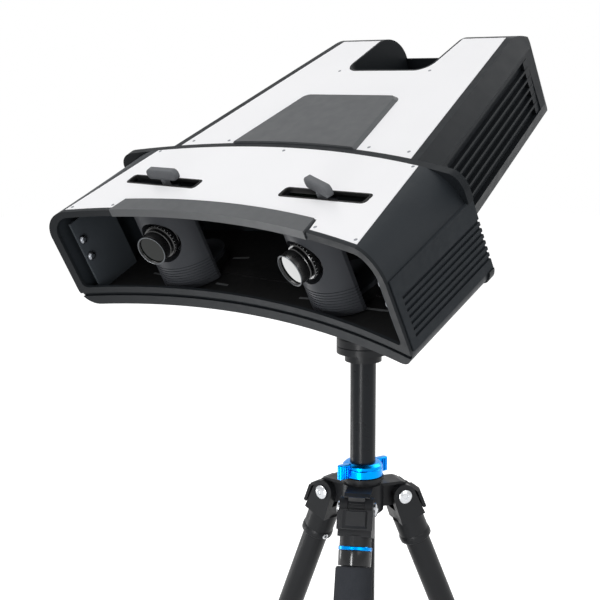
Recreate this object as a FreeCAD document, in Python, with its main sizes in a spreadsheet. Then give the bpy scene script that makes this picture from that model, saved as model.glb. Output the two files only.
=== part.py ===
"""Stereo 3D scanner on a tripod, as a parametric document of separate pieces.

The scanner head is drawn level: +X is to the right of someone facing its lenses, -Y is the way it looks and
z = 0 is the top of its front panel. It is then tipped nose down about the head's tilt pin, which stands over the column.
Each leg is drawn hanging straight down from its pivot. The whole object stands on z = 0.
"""
import FreeCAD, Part
import math
import os
import re
import Sketcher

POINT = FreeCAD.Vector
PLACE = FreeCAD.Placement
TURN = FreeCAD.Rotation
ACROSS = POINT(1, 0, 0)
UP = POINT(0, 0, 1)

doc = FreeCAD.newDocument("tripod_scanner")
sheet = doc.addObject("Spreadsheet::Sheet", "Sizes")
aliases = []
pieces = []


def add_sizes(title, rows):
    """Write one block of driving sizes, in millimetres and degrees, below the ones already there."""
    row = len(aliases) + 1
    for alias, number in rows.items():
        sheet.set(f"A{row}", title)
        sheet.set(f"B{row}", str(number))
        sheet.setAlias(f"B{row}", alias)
        aliases.append(alias)
        row += 1


FRONT_HOUSING_SIZES = {
    "housing_half": 229.0, "housing_tall": 116.5, "bow": 860.0, "low_round": 21.0,
    "shoulder_drop": 33.0, "shoulder_bend": 31.0, "shoulder_bend_rear": 58.0, "side_wall": 7.5,
    "shell_wall": 3.5, "split_drop": 63.0, "rim_face": 18.0, "rim_deep": 3.5, "rim_side": 9.0,
    "shoulder_run": 29.0, "opening_top": 7.0, "lip_tall": 22.0, "opening_round": 24.0,
    "opening_low_round": 6.0, "lip_groove_lift": 10.8, "lip_groove_tall": 4.0,
    "lip_groove_deep": 2.4, "flange_front": 140.3, "flange_deep": 8.0, "flange_proud": 2.5,
    "flange_round": 16.0, "flange_down": 0.6, "tray_lift": 12.5, "tray_thick": 3.0,
    "tray_ledge": 9.0, "fit_gap": 0.2,
}
add_sizes("front housing", FRONT_HOUSING_SIZES)
FRONT_PANEL_AND_BROW_SIZES = {
    "panel_taper": 10.63, "panel_front": 23.1, "panel_rear": 139.9,
    "panel_thick": 2.0, "panel_gap": 0.3, "notch_half": 136.3, "notch_slant": 3.9,
    "notch_rear": 37.5, "brow_gap": 2.4, "brow_proud": 1.5, "brow_lip": 1.2, "slot_inner": 60.0,
    "slot_outer": 161.0, "slot_wide": 13.0, "stem_side": 107.0, "stem_back": 64.9,
}
add_sizes("front panel and brow", FRONT_PANEL_AND_BROW_SIZES)
SIDE_GRIPS_SIZES = {
    "grip_top": 28.0, "grip_lift": 17.5, "grip_sink": 3.0, "groove_deep": 2.0, "rib_back": 8.5,
    "rib_first": 51.0, "rib_step": 6.4, "rib_tall": 3.4, "rib_proud": 1.2,
}
add_sizes("side grips", SIDE_GRIPS_SIZES)
CAMERA_TURRETS_SIZES = {
    "turret_half": 37.0, "turret_bow": 42.0, "turret_ahead": 19.0, "turret_rib": 4.0,
    "turret_lift": 1.5, "turret_top": 7.5, "turret_wall": 4.0, "carriage_tall": 11.3, "toe_in": 10.7,
    "lens_drop": 45.0, "pocket_round": 23.0, "disc_round": 29.5, "disc_gap": 0.5, "tongue_half": 12.0,
    "spigot_round": 6.0, "spigot_tall": 4.0, "run_gap": 0.05, "rest_gap": 0.3, "rail_wide": 12.0,
    "rail_tall": 1.2, "rail_half": 172.0, "ring_lift": 6.0, "ring_step": 3.0, "ring_count": 8,
    "ring_tall": 0.9, "ring_deep": 0.8,
}
add_sizes("camera turrets", CAMERA_TURRETS_SIZES)
LENSES_AND_LEVERS_SIZES = {
    "camera_half": 14.5, "camera_long": 30.0, "mount_round": 15.5, "core_round": 12.0,
    "iris_round": 17.0, "iris_from": 27.0, "iris_long": 6.0, "focus_round": 18.6,
    "focus_from": 33.5, "focus_long": 10.8, "filter_round": 16.4, "filter_from": 45.0,
    "filter_long": 14.0, "glass_round": 14.4, "glass_thick": 2.0, "glass_seat": 5.0,
    "lever_long": 48.0, "lever_low": 3.0, "lever_tall": 12.0, "lever_thick": 7.0, "stem_round": 4.0,
    "left_lever_turn": 0.0, "right_lever_turn": -21.0,
}
add_sizes("lenses and levers", LENSES_AND_LEVERS_SIZES)
REAR_HOUSING_SIZES = {
    "rear_top": 2.4, "rear_start": 134.0, "rear_panel_half": 157.9, "trim_wide": 9.0,
    "chamfer_half": 180.0, "chamfer_drop": 18.0, "waist_half": 182.0, "waist_drop": 81.0,
    "keel_half": 176.0, "keel_drop": 96.0, "floor_half": 160.0, "floor_drop": 112.0,
    "body_taper": 11.0, "rear_end": 405.0, "rear_corner": 46.0, "roll_round": 36.0,
    "heel_round": 24.0, "pan_split": 84.0, "rear_wall": 25.0, "roof_thick": 5.5,
    "rear_panel_end": 374.1, "rear_panel_thick": 2.0, "louvre_front": 160.0, "louvre_rear": 366.0,
    "louvre_top": 22.0, "louvre_low": 81.0, "louvre_deep": 9.0, "louvre_base": 2.5, "fin_count": 5,
    "fin_thick": 2.4, "fin_proud": 7.6, "fin_stop": 10.0,
}
add_sizes("rear housing", REAR_HOUSING_SIZES)
REAR_TOP_DETAILS_SIZES = {
    "recess_half": 54.5, "recess_front": 306.0, "recess_round": 16.0, "recess_wall": 2.3,
    "recess_floor": 75.0, "recess_bar": 40.0, "recess_bar_thick": 1.6, "recess_slope": 8.0,
    "badge_half": 86.5, "badge_rear": 248.5, "badge_tall": 3.5, "badge_edge": 3.5,
    "badge_round": 12.0, "inlet_wide": 22.0, "inlet_tall": 15.0, "inlet_deep": 12.0,
    "socket_round": 8.0, "switch_wide": 19.0, "switch_tall": 13.0, "switch_tilt": 5.0, "switch_pin": 1.2,
    "port_drop": 95.0, "port_step": 34.0,
}
add_sizes("rear top details", REAR_TOP_DETAILS_SIZES)
INNER_PARTS_SIZES = {
    "projector_half": 58.0, "projector_front": 172.0, "projector_rear": 290.0,
    "projector_top": 36.0, "case_wall": 3.0, "beam_drop": 60.0, "beam_round": 20.0, "beam_front": 147.0,
    "window_round": 28.0, "window_thick": 2.0, "board_thick": 1.6, "board_lift": 8.0,
    "board_inner": 66.0, "board_wide": 46.0, "board_front": 170.0, "board_rear": 285.0,
    "post_round": 3.0, "fan_size": 60.0, "fan_thick": 15.0, "fan_bore": 28.0, "fan_hub": 12.0,
    "fan_side": 123.0, "fan_back": 232.0, "blade_count": 7, "blade_tip": 26.5, "blade_thick": 1.5,
    "pin_round": 2.0, "bracket_inset": 22.0, "bracket_thick": 3.0, "bracket_foot": 12.0,
    "bracket_front": 1.0, "bracket_deep": 55.0, "bracket_top": 20.0, "bolt_head": 4.2, "bolt_back": 6.0,
    "bolt_drop": 42.0, "bolt_step": 21.0,
}
add_sizes("inner parts", INNER_PARTS_SIZES)
PAN_AND_TILT_HEAD_SIZES = {
    "pitch": 27.88, "mount_back": 186.9, "pin_drop": 42.0, "plate_wide": 62.0, "plate_long": 66.0,
    "plate_thick": 8.0, "cradle_wide": 48.0, "cradle_round": 17.0, "ear_thick": 9.0, "ear_gap": 0.3,
    "pan_round": 25.0, "pan_tall": 40.0, "pan_lift": 24.0, "hinge_pin": 5.0, "knob_round": 14.0,
    "knob_long": 22.0, "neck_round": 6.0, "pan_knob_lift": 15.0, "base_round": 29.0,
    "base_tall": 34.0, "pad_drop": 5.0,
}
add_sizes("pan and tilt head", PAN_AND_TILT_HEAD_SIZES)
COLUMN_AND_SPIDER_SIZES = {
    "disc_round_top": 29.0, "disc_tall": 8.0, "socket_out": 20.0, "socket_tall": 9.0,
    "socket_deep": 12.0, "column_round": 14.0, "column_bore": 11.5, "column_long": 330.0,
    "column_show": 113.0, "cap_tall": 8.0, "collar_round": 22.2, "collar_tall": 15.6,
    "wing_reach": 33.0, "wing_round": 3.0, "wing_wide": 13.0,
    "wing_turn": 78.0, "collar_lift": 40.5, "collar_slope": 1.0, "cap_top": 16.5, "cap_reach": 4.0, "cap_half": 14.0,
    "hub_rim": 4.0, "hub_round": 23.0, "hub_low": 16.0,
    "lug_half": 9.0, "lug_round": 11.5,
}
add_sizes("column and spider", COLUMN_AND_SPIDER_SIZES)
LEGS_SIZES = {
    "leg_offset": 43.0, "leg_length": 450.0, "leg_splay": 22.3, "leg_turn": -56.5, "ear_half": 18.0,
    "ear_round": 13.0, "leg_bolt": 4.0, "leg_bolt_head": 6.6, "leg_bolt_cap": 3.0,
    "casting_top": 14.0, "casting_shoulder": 30.0, "casting_end": 58.5, "casting_deep": 15.0,
    "casting_round": 17.0, "tab_wide": 38.0, "tab_long": 21.0, "tab_thick": 3.5, "tab_top": 2.0, "tab_boss": 3.0,
    "tube_round": 14.0, "tube_bore": 12.65, "tube_in_lock": 10.0, "tube_lap": 18.0,
    "lower_round": 12.6, "lower_bore": 11.0, "lower_top": 70.0, "lock_lift": 115.0,
    "lock_long": 44.0, "lock_round": 18.5, "foot_round": 14.0, "foot_flat": 0.7, "foot_neck": 34.0,
    "grip_collar_round": 17.4, "grip_band": 4.0, "grip_collar_long": 18.0, "foam_round": 20.0,
    "foam_long": 180.0,
}
add_sizes("legs", LEGS_SIZES)
doc.recompute()


# Places that follow from the driving sizes, such as a tray that stands a fixed lift above the casing's floor.
FOLLOWING = {
    "panel_half": "housing_half - shoulder_run",
    "opening_half": "housing_half - rim_side",
    "opening_low": "housing_tall - lip_tall",
    "lip_groove_low": "housing_tall - lip_groove_lift",
    "tray_top": "housing_tall - tray_lift",
    "grip_low": "housing_tall - grip_lift",
    "turret_low": "tray_top - turret_lift",
    "turret_floor": "tray_top - carriage_tall",
    "pocket_floor": "turret_ahead + turret_wall",
    "ring_first": "tray_top - ring_lift",
    "bracket_in": "housing_half - bracket_inset",
    "cavity_rear": "rear_end - rear_wall",
    "lock_from": "leg_length - lock_lift",
    "tube_end": "lock_from + tube_in_lock",
}


def bound(text):
    """Point every size named in a formula at its cell in the sheet, by way of the places that follow from it."""
    def cell(found):
        name = found.group()
        if name in FOLLOWING:
            return f"({bound(FOLLOWING[name])})"
        return "Sizes." + name if name in aliases else name
    return re.sub(r"[a-z_]+", cell, str(text))


def number(text):
    """Work a formula out with the sheet's present values."""
    return float(sheet.evalExpression(bound(text)))


def new_body(label):
    """Start one separate piece of the object, named as its file will be."""
    body = doc.addObject("PartDesign::Body", label)
    body.Label = label
    pieces.append(body)
    return body


def arc_middle(start, end, bend):
    """Point half way round the arc of radius |bend| that turns left (+) or right (-) from start to end."""
    chord = end - start
    half = chord.Length / 2
    side = POINT(-chord.y, chord.x, 0) / chord.Length
    rise = abs(bend) - math.sqrt(max(bend * bend - half * half, 0.0))
    return (start + end) / 2 - side * math.copysign(rise, bend)


def draw(body, plane, lift, *loops):
    """Sketch closed loops on one of the body's own planes, moved along that plane's normal by lift.

    A stop is (across, up) or (across, up, bend), with bend the radius of the arc to the next stop, positive
    where it turns left. A loop of one stop is a circle: (across, up, radius). Every coordinate and radius
    is a formula in the sheet's sizes, and is bound to them as a constraint.
    """
    sketch = body.newObject("Sketcher::SketchObject", body.Label + "_outline")
    face = next(item for item in body.Origin.OriginFeatures if item.Role == plane + "_Plane")
    sketch.AttachmentSupport = [(face, "")]
    sketch.MapMode = "FlatFace"
    sketch.setExpression(".AttachmentOffset.Base.z", bound(lift))

    def fix(kind, formula, *where):
        index = sketch.addConstraint(Sketcher.Constraint(kind, *where, number(formula)))
        sketch.setExpression(f"Constraints[{index}]", bound(formula))

    for loop in loops:
        if len(loop) == 1:
            across, up, radius = loop[0]
            middle = POINT(number(across), number(up), 0)
            edge = sketch.addGeometry(Part.Circle(middle, UP, number(radius)))
            fix("Radius", radius, edge)
            fix("DistanceX", across, -1, 1, edge, 3)
            fix("DistanceY", up, -1, 1, edge, 3)
            continue
        spots = [POINT(number(stop[0]), number(stop[1]), 0) for stop in loop]
        ends = []
        for index, stop in enumerate(loop):
            start, end = spots[index], spots[(index + 1) % len(loop)]
            if len(stop) == 2:
                ends.append((sketch.addGeometry(Part.LineSegment(start, end)), 1, 2))
                continue
            bend = number(stop[2])
            middle = arc_middle(start, end, bend)
            if bend > 0:
                ends.append((sketch.addGeometry(Part.Arc(start, middle, end)), 1, 2))
            else:
                ends.append((sketch.addGeometry(Part.Arc(end, middle, start)), 2, 1))
            fix("Radius", f"abs({stop[2]})", ends[-1][0])
        for index, stop in enumerate(loop):
            edge, first, last = ends[index]
            following, following_first, _ = ends[(index + 1) % len(loop)]
            sketch.addConstraint(Sketcher.Constraint("Coincident", edge, last, following, following_first))
            fix("DistanceX", stop[0], -1, 1, edge, first)
            fix("DistanceY", stop[1], -1, 1, edge, first)
    return sketch


def feature(body, kind, sketch, **settings):
    """Add one PartDesign feature that uses a sketch; a text setting is a formula, the rest are values."""
    made = body.newObject("PartDesign::" + kind, body.Label + "_" + kind.lower())
    made.Profile = sketch
    for name, setting in settings.items():
        if name in ("Length", "Angle"):
            made.setExpression(name, bound(setting))
        else:
            setattr(made, name, setting)
    body.Tip = made
    return made


def pad(body, sketch, length, back=False, both=False):
    """Raise an outline along its plane's normal, or against it with back, or half each way with both."""
    return feature(body, "Pad", sketch, Length=length, Reversed=back, Midplane=both)


def cut(body, sketch, length, back=False, both=False):
    """Sink an outline along its plane's normal, or against it with back, or half each way with both."""
    return feature(body, "Pocket", sketch, Length=length, Reversed=not back, Midplane=both)


def loft(body, kind, first, second):
    """Join two outlines by straight rulings, adding or taking material."""
    return feature(body, kind + "Loft", first, Sections=[second], Ruled=True)


def spin(body, plane, *loops):
    """Turn an outline of (radius, along) stops about the plane's upright axis."""
    sketch = draw(body, plane, 0, *loops)
    return feature(body, "Revolution", sketch, ReferenceAxis=(sketch, ["V_Axis"]), Angle="360")


def box(left, right, low, high):
    """Loop of a rectangle."""
    return [(left, low), (right, low), (right, high), (left, high)]


def mirrored(stops, far_bend=None, near_bend=None):
    """Close a right-hand half outline with its mirror image about the upright axis.

    The far bend is the arc across the axis after the last stop, the near bend the one before the first.
    """
    def stop(across, up, bend):
        return (across, up) if bend is None else (across, up, bend)

    bends = [item[2] if len(item) == 3 else None for item in stops[:-1]]
    right = [stop(item[0], item[1], bend) for item, bend in zip(stops, bends + [far_bend])]
    left = [stop(f"-({item[0]})", item[1], bend)
            for item, bend in zip(reversed(stops), list(reversed(bends)) + [near_bend])]
    return right + left


def keep_inside(body, plane, outline):
    """Trim the piece to an outline seen along a plane's normal, by cutting away all that is outside it."""
    everything = box("-900", "900", "-900", "900")
    cut(body, draw(body, plane, 0, everything, outline), "1800", both=True)


def cylinder_cut(body, plane, lift, across, up, radius, length, back=False):
    """Bore a round hole."""
    cut(body, draw(body, plane, lift, [(across, up, radius)]), length, back=back)


# ---------------------------------------------------------------- front housing
REACH = "housing_half + 30"


def arc_at(apex, across):
    """Depth of an arc of the housing's bow at a distance across, from its apex on the centre line."""
    return f"({apex}) - bow + sqrt(bow*bow - ({across})*({across}))"


def between_bows(front, rear):
    """Plan outline between two arcs of the same bow."""
    return mirrored([(REACH, arc_at(front, REACH)), (REACH, arc_at(rear, REACH))], "bow", "-bow")


def panel_edge(depth):
    """Half width of the tapered front panel at a depth."""
    return f"panel_half - tan(panel_taper)*({depth})"


def housing_section(depth, bend, inset, top, low, half_inset):
    """Cross-section of the front housing at a depth: flat top, falling shoulder, upright side, round foot."""
    side = f"housing_half - {half_inset}"
    return mirrored([
        (f"{side} - low_round + {inset}", f"-housing_tall + {low}", f"low_round - {inset}"),
        (side, f"-housing_tall + low_round + {low} - {inset}"),
        (side, f"-shoulder_drop - {inset}", bend),
        (f"{panel_edge(depth)} + 1 - {inset}", f"-({top})")])


def housing_loft(body):
    """Outer form of the front housing, over more than its depth."""
    near = draw(body, "XZ", "15", housing_section("-15", "shoulder_bend", "0", "0", "0", "0"))
    far = draw(body, "XZ", "-150", housing_section("150", "shoulder_bend_rear", "0", "0", "0", "0"))
    loft(body, "Additive", near, far)


def housing_hollow(body):
    """Room inside the front housing: stepped at the floor, so that the tray rests on a ledge."""
    def room(depth, bend):
        half = "housing_half - side_wall"
        return mirrored([
            (f"{half} - tray_ledge", "-housing_tall + shell_wall"),
            (f"{half} - tray_ledge", "-tray_top - tray_thick"),
            (half, "-tray_top - tray_thick"),
            (half, "-shoulder_drop - shell_wall", f"{bend} - shell_wall"),
            (f"{panel_edge(depth)} - shell_wall", "-panel_thick - shell_wall")])
    near = draw(body, "XZ", "15", room("-15", "shoulder_bend"))
    far = draw(body, "XZ", "-150", room("150", "shoulder_bend_rear"))
    loft(body, "Subtractive", near, far)


def panel_outline(gap, notched):
    """Plan of the front panel, grown by a gap; its front edge has a notch for the brow."""
    front = arc_at(f"panel_front - {gap}", f"panel_half + {gap}")
    rear_half = f"{panel_edge('panel_rear - 19')} + {gap}"
    right = [(f"panel_half + {gap}", front), (rear_half, arc_at(f"panel_rear + {gap}", rear_half))]
    if not notched:
        return mirrored(right, f"bow + {gap}", f"-bow + {gap}")
    inner = "notch_half - notch_slant"
    corner = [(inner, arc_at("notch_rear", inner)), ("notch_half", arc_at("panel_front", "notch_half"), "-bow")]
    return mirrored(corner + right, "bow", "-bow")


def seat_panel(body):
    """Sink the seat of the front panel, and open it forward where the brow strip sits."""
    cut(body, draw(body, "XY", "-panel_thick", panel_outline("panel_gap", False)), "20")
    seat = box("-notch_half + 1", "notch_half - 1", "-30", "notch_rear")
    cut(body, draw(body, "XY", "-panel_thick", seat), "20")


def slot_loop(side, gap):
    """Round-cornered slot in which a lever's stem travels."""
    low = f"stem_back - slot_wide/2 - {gap}"
    high = f"stem_back + slot_wide/2 + {gap}"
    inner = f"{side}*(slot_inner - {gap})"
    outer = f"{side}*(slot_outer + {gap})"
    ends = (inner, outer) if side > 0 else (outer, inner)
    near, far = f"{ends[0]} + slot_wide/4", f"{ends[1]} - slot_wide/4"
    return [(near, low), (far, low, "slot_wide/4"), (ends[1], f"{low} + slot_wide/4"),
            (ends[1], f"{high} - slot_wide/4", "slot_wide/4"), (far, high), (near, high, "slot_wide/4"),
            (ends[0], f"{high} - slot_wide/4"), (ends[0], f"{low} + slot_wide/4", "slot_wide/4")]


def seat_grips(body):
    """Sink the sides where the ribbed grips lie, from behind the rim to the back of the flange."""
    for side in (-1, 1):
        near = f"{side}*(housing_half - grip_sink)"
        far = f"{side}*(housing_half + 9)"
        ends = (near, far) if side > 0 else (far, near)
        seat = box(ends[0], ends[1], "-housing_tall", "flange_front + 50")
        sketch = draw(body, "XY", "-grip_low - fit_gap", seat)
        cut(body, sketch, "grip_low - grip_top + 2*fit_gap")


def front_shell(label, upper):
    """Half of the front casing, split along a level line."""
    body = new_body(label)
    housing_loft(body)
    keep_inside(body, "XY", between_bows("rim_face + rim_deep", "flange_front"))
    housing_hollow(body)
    away = box("-900", "900", "-300", "-split_drop") if upper else box("-900", "900", "-split_drop", "50")
    cut(body, draw(body, "XZ", 0, away), "1800", both=True)
    seat_grips(body)
    if upper:
        seat_panel(body)
        cut(body, draw(body, "XY", "-panel_thick - shell_wall - 1", slot_loop(-1, "0.6"), slot_loop(1, "0.6")),
            "20")
    return body


def front_rim():
    """Frame round the opening: thick walls, and a lower band split in two lips by a groove."""
    body = new_body("front_rim")
    housing_loft(body)
    keep_inside(body, "XY", between_bows("rim_face", "rim_face + rim_deep"))
    opening = mirrored([
        ("opening_half - opening_low_round", "-opening_low", "opening_low_round"),
        ("opening_half", "-opening_low + opening_low_round"),
        ("opening_half", "-opening_top - opening_round", "opening_round"),
        ("opening_half - opening_round", "-opening_top")])
    cut(body, draw(body, "XZ", 0, opening), "1800", both=True)
    groove = between_bows("rim_face - 20", "rim_face + lip_groove_deep")
    cut(body, draw(body, "XY", "-lip_groove_low", groove), "lip_groove_tall")
    seat_panel(body)
    return body


def rear_flange():
    """Plate behind the casing, a little proud of its shoulders, with a round window for the projector."""
    body = new_body("rear_flange")
    half = "housing_half + flange_proud"
    outline = mirrored([
        (f"{half} - low_round", "-housing_tall", "low_round"),
        (half, "-housing_tall + low_round"),
        (half, "-flange_down - flange_round", "flange_round"),
        (f"{half} - flange_round", "-flange_down")])
    pad(body, draw(body, "XZ", 0, outline), "1200", both=True)
    keep_inside(body, "XY", between_bows("flange_front", "flange_front + flange_deep"))
    seat_grips(body)
    cylinder_cut(body, "XZ", "-100", "0", "-beam_drop", "window_round", "100", back=True)
    return body


def front_top_panel():
    """White cover plate with the lever slots and the notch for the brow."""
    body = new_body("front_top_panel")
    sketch = draw(body, "XY", "-panel_thick", panel_outline("0", True), slot_loop(-1, "0"), slot_loop(1, "0"))
    pad(body, sketch, "panel_thick")
    return body


def brow_strip():
    """Raised strip over the middle of the opening, with a lip down over the rim's face."""
    body = new_body("brow_strip")
    front = "rim_face - brow_lip"
    half = "notch_half - notch_slant - brow_gap"
    foot = "notch_half - brow_gap"
    outline = mirrored([(foot, arc_at(front, foot)), (half, arc_at("notch_rear - panel_gap", half))], "bow", "-bow")
    pad(body, draw(body, "XY", "-panel_thick", outline), "panel_thick + brow_proud")
    lip = mirrored([(foot, arc_at(front, foot)), (foot, arc_at("rim_face", foot))], "bow", "-bow")
    pad(body, draw(body, "XY", "-opening_top", lip), "opening_top")
    return body


def side_grips():
    """Ribbed rubber grip on each side of the front housing."""
    grips = []
    for side, name in ((-1, "left"), (1, "right")):
        body = doc.addObject("PartDesign::Body", f"grip_{name}")

        def slab(inner, outer, back, past):
            near, far = f"{side}*({inner})", f"{side}*({outer})"
            ends = (near, far) if side > 0 else (far, near)
            front = arc_at(f"rim_face + rim_deep + {back}", inner)
            return box(ends[0], ends[1], front, arc_at(f"flange_front + flange_deep + {past}", outer))
        skin = "housing_half + rib_proud"
        whole = slab("housing_half - grip_sink + fit_gap", skin, "fit_gap", "0")
        pad(body, draw(body, "XY", "-grip_low", whole), "grip_low - grip_top")
        groove = slab(f"{skin} - groove_deep", f"{skin} + 5", "rib_back", "20")
        for index in range(int(number("(grip_low - rib_first)/rib_step"))):
            cut(body, draw(body, "XY", f"-rib_first - {index}*rib_step", groove), "rib_step - rib_tall")
        grips.append(body)
    return group("side_grips", grips)


def group(label, members):
    """Keep several separate solids of one kind together as one node."""
    together = doc.addObject("Part::Compound", label)
    together.Label = label
    together.Links = members
    pieces.append(together)
    return together


def camera_tray():
    """Black floor plate of the opening, with the rail that the camera carriages run on."""
    body = new_body("camera_tray")
    half = "housing_half - side_wall - fit_gap"
    outline = mirrored([
        (half, arc_at("rim_face + rim_deep + 0.5", half)), (half, arc_at("flange_front - 0.5", half))],
        "bow", "-bow")
    pad(body, draw(body, "XY", "-tray_top - tray_thick", outline), "tray_thick")
    rail = box("-rail_half", "rail_half", "stem_back - rail_wide/2", "stem_back + rail_wide/2")
    pad(body, draw(body, "XY", "-tray_top - 1", rail), "rail_tall + 1")
    return body


def end_brackets():
    """Angle plate standing on the tray at each end of the opening, with two domed bolts."""
    members = []
    for side, name in ((-1, "left"), (1, "right")):
        body = doc.addObject("PartDesign::Body", f"bracket_{name}")
        near, far = f"{side}*bracket_in", f"{side}*(bracket_in + bracket_thick)"
        foot = f"{side}*(bracket_in + bracket_foot)"
        plate = box(*((near, far) if side > 0 else (far, near)), "bracket_front", "bracket_front + bracket_deep")
        flat = box(*((near, foot) if side > 0 else (foot, near)), "bracket_front", "bracket_front + bracket_deep")
        pad(body, draw(body, "XY", "-tray_top", plate), "tray_top - bracket_top")
        pad(body, draw(body, "XY", "-tray_top", flat), "bracket_thick")
        members.append(body)
        for index in range(2):
            bolt = doc.addObject("Part::Sphere", f"dome_{name}")
            bolt.setExpression("Radius", bound("bolt_head"))
            bolt.Angle1 = 0
            bolt.Placement = PLACE(POINT(number(near), number("bracket_front + bolt_back"),
                                         number(f"-bolt_drop - {index}*bolt_step")),
                                   TURN(POINT(0, 1, 0), -90 * side))
            members.append(bolt)
    return group("end_brackets", members)


# ---------------------------------------------------------------- camera turrets
def camera_carriage(label):
    """Round carriage that straddles the rail; the turret sits and turns on its spigot."""
    body = new_body(label)
    disc = [("0", "0", "disc_round")]
    low = "-tray_top + rest_gap"
    pad(body, draw(body, "XY", low, disc), "tray_top - rest_gap - turret_floor - rest_gap")
    pad(body, draw(body, "XY", "-turret_floor - rest_gap - 1", [("0", "0", "spigot_round")]), "spigot_tall + 1")
    track = box("-disc_round - 1", "disc_round + 1", "-rail_wide/2 - run_gap*3", "rail_wide/2 + run_gap*3")
    cut(body, draw(body, "XY", low, track), "rail_tall")
    return body


def turret_plan(inset):
    """Plan of the turret's cover: bowed in front, with short straight sides behind."""
    half = f"turret_half - {inset}"
    corner = "-turret_ahead - turret_rib"
    return [(f"-({half})", corner, f"turret_bow - {inset}"), (half, corner),
            (half, "-turret_ahead"), (f"-({half})", "-turret_ahead")]


def tongue(half):
    """Plan of a flat arm from the back of the turret's cover to round the pivot."""
    return [(f"-{half}", "-turret_ahead - 1"), (half, "-turret_ahead - 1"), (half, "0", half),
            ("0", half, half), (f"-{half}", "0")]


def camera_turret(label):
    """Bowed upright cover that carries a camera in a round pocket, on a foot and a top arm that turn on the carriage."""
    body = new_body(label)
    pad(body, draw(body, "XY", "-turret_low", turret_plan("0")), "turret_low - turret_top")
    pad(body, draw(body, "XY", "-turret_floor", tongue("disc_round")), "turret_wall")
    pad(body, draw(body, "XY", "-turret_top - turret_wall", tongue("tongue_half")), "turret_wall")
    cylinder_cut(body, "XY", "-turret_low - 1", "0", "0", "disc_round + disc_gap",
                 "turret_low + 1 - turret_floor")
    cylinder_cut(body, "XY", "-turret_floor - 1", "0", "0", "spigot_round + run_gap", "turret_wall + 5")
    cylinder_cut(body, "XY", "-turret_top - turret_wall - 1", "0", "0", "stem_round + run_gap", "40")
    cylinder_cut(body, "XZ", "pocket_floor", "0", "-lens_drop", "pocket_round", "60")
    cylinder_cut(body, "XZ", "0", "0", "-lens_drop", "mount_round + rest_gap", "60")
    around = box("-90", "90", "-90", "-turret_ahead + 1")
    inside = turret_plan("ring_deep")[:2] + [("turret_half - ring_deep", "-turret_ahead + 0.5"),
                                             ("-turret_half + ring_deep", "-turret_ahead + 0.5")]
    for index in range(round(number("ring_count"))):
        cut(body, draw(body, "XY", f"-ring_first + {index}*ring_step", around, inside), "ring_tall")
    return body


def camera_unit(label):
    """Camera box behind the pocket wall, and the fixed core of its lens."""
    box_body = doc.addObject("PartDesign::Body", label + "_box")
    side = "camera_half"
    square = box(f"-{side}", side, f"-lens_drop - {side}", f"-lens_drop + {side}")
    back = "-turret_ahead"
    pad(box_body, draw(box_body, "XZ", f"-({back}) - camera_long", square), "camera_long")
    core = doc.addObject("PartDesign::Body", label + "_core")
    spin(core, "XY", [
        ("0", f"{back}"), ("0", "-filter_from - glass_seat + rest_gap"),
        ("core_round", "-filter_from - glass_seat + rest_gap"), ("core_round", "-iris_from + rest_gap"),
        ("mount_round", "-iris_from + rest_gap"), ("mount_round", f"{back}")])
    core.Placement = PLACE(POINT(0, 0, -number("lens_drop")), TURN())
    return group(label, [box_body, core])


def lens_ring(label, start, long, radius):
    """Turning ring on the lens core, with a chamfered front and rear edge."""
    body = new_body(label)
    bore = "core_round + run_gap"
    spin(body, "XY", [
        (bore, f"-{start}"), (bore, f"-{start} - {long}"), (f"{radius} - 0.8", f"-{start} - {long}"),
        (radius, f"-{start} - {long} + 0.8"), (radius, f"-{start} - 0.8"), (f"{radius} - 0.8", f"-{start}")])
    return body


def filter_ring(label):
    """Front ring that turns on the lens core, and the glass that it carries."""
    ring = doc.addObject("PartDesign::Body", label + "_ring")
    bore = "core_round + run_gap"
    seat = "-filter_from - glass_seat"
    wide = "glass_round + 0.1"
    end = "-filter_from - filter_long"
    spin(ring, "XY", [
        (bore, "-filter_from"), (bore, seat), (wide, seat), (wide, end), ("filter_round - 0.5", end),
        ("filter_round", f"{end} + 0.5"), ("filter_round", "-filter_from - 0.5"),
        ("filter_round - 0.5", "-filter_from")])
    glass = doc.addObject("PartDesign::Body", label + "_glass")
    spin(glass, "XY", [
        ("0", seat), ("0", f"{seat} - glass_thick - 1"), ("glass_round*0.6", f"{seat} - glass_thick - 0.6"),
        ("glass_round", f"{seat} - glass_thick"), ("glass_round", seat)])
    return group(label, [ring, glass])


def slide_lever(label):
    """T-shaped locking lever: a rounded paddle on a stem that goes down through the slot."""
    body = new_body(label)
    foot = "-turret_top - turret_wall + 0.5"
    pad(body, draw(body, "XY", foot, [("0", "0", "stem_round")]), f"lever_low + 1 - ({foot})")
    half = "lever_long/2"
    tall = "lever_tall"
    paddle = mirrored([
        (f"{half} - 8", "lever_low", "14"), (f"{half}", "lever_low + 5", "5.5"),
        (f"{half} - 6", f"lever_low + {tall} - 1", "60")], "90", None)
    pad(body, draw(body, "XZ", "0", paddle), "lever_thick", both=True)
    return body


# ---------------------------------------------------------------- rear housing
def rear_half(width, depth):
    """Half width of the tapered rear body at a depth, from its half width where the body starts."""
    return f"({width}) - tan(body_taper)*({depth} - rear_start)"


def rear_section(depth, inset, roof):
    """Cross-section of the rear body at a depth: flat trim, chamfer, near-upright side, keel and floor."""
    trim = "rear_panel_half + trim_wide"
    corners = (("floor_half", "-floor_drop", 1.0), ("keel_half", "-keel_drop", 0.5),
               ("waist_half", "-waist_drop", 0.0), ("chamfer_half", "-chamfer_drop", -0.4),
               (trim, f"-rear_top - ({roof})", 0.0))
    return mirrored([(f"{rear_half(width, depth)} - ({inset})", f"{height} + {share}*({inset})")
                     for width, height, share in corners])


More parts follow.
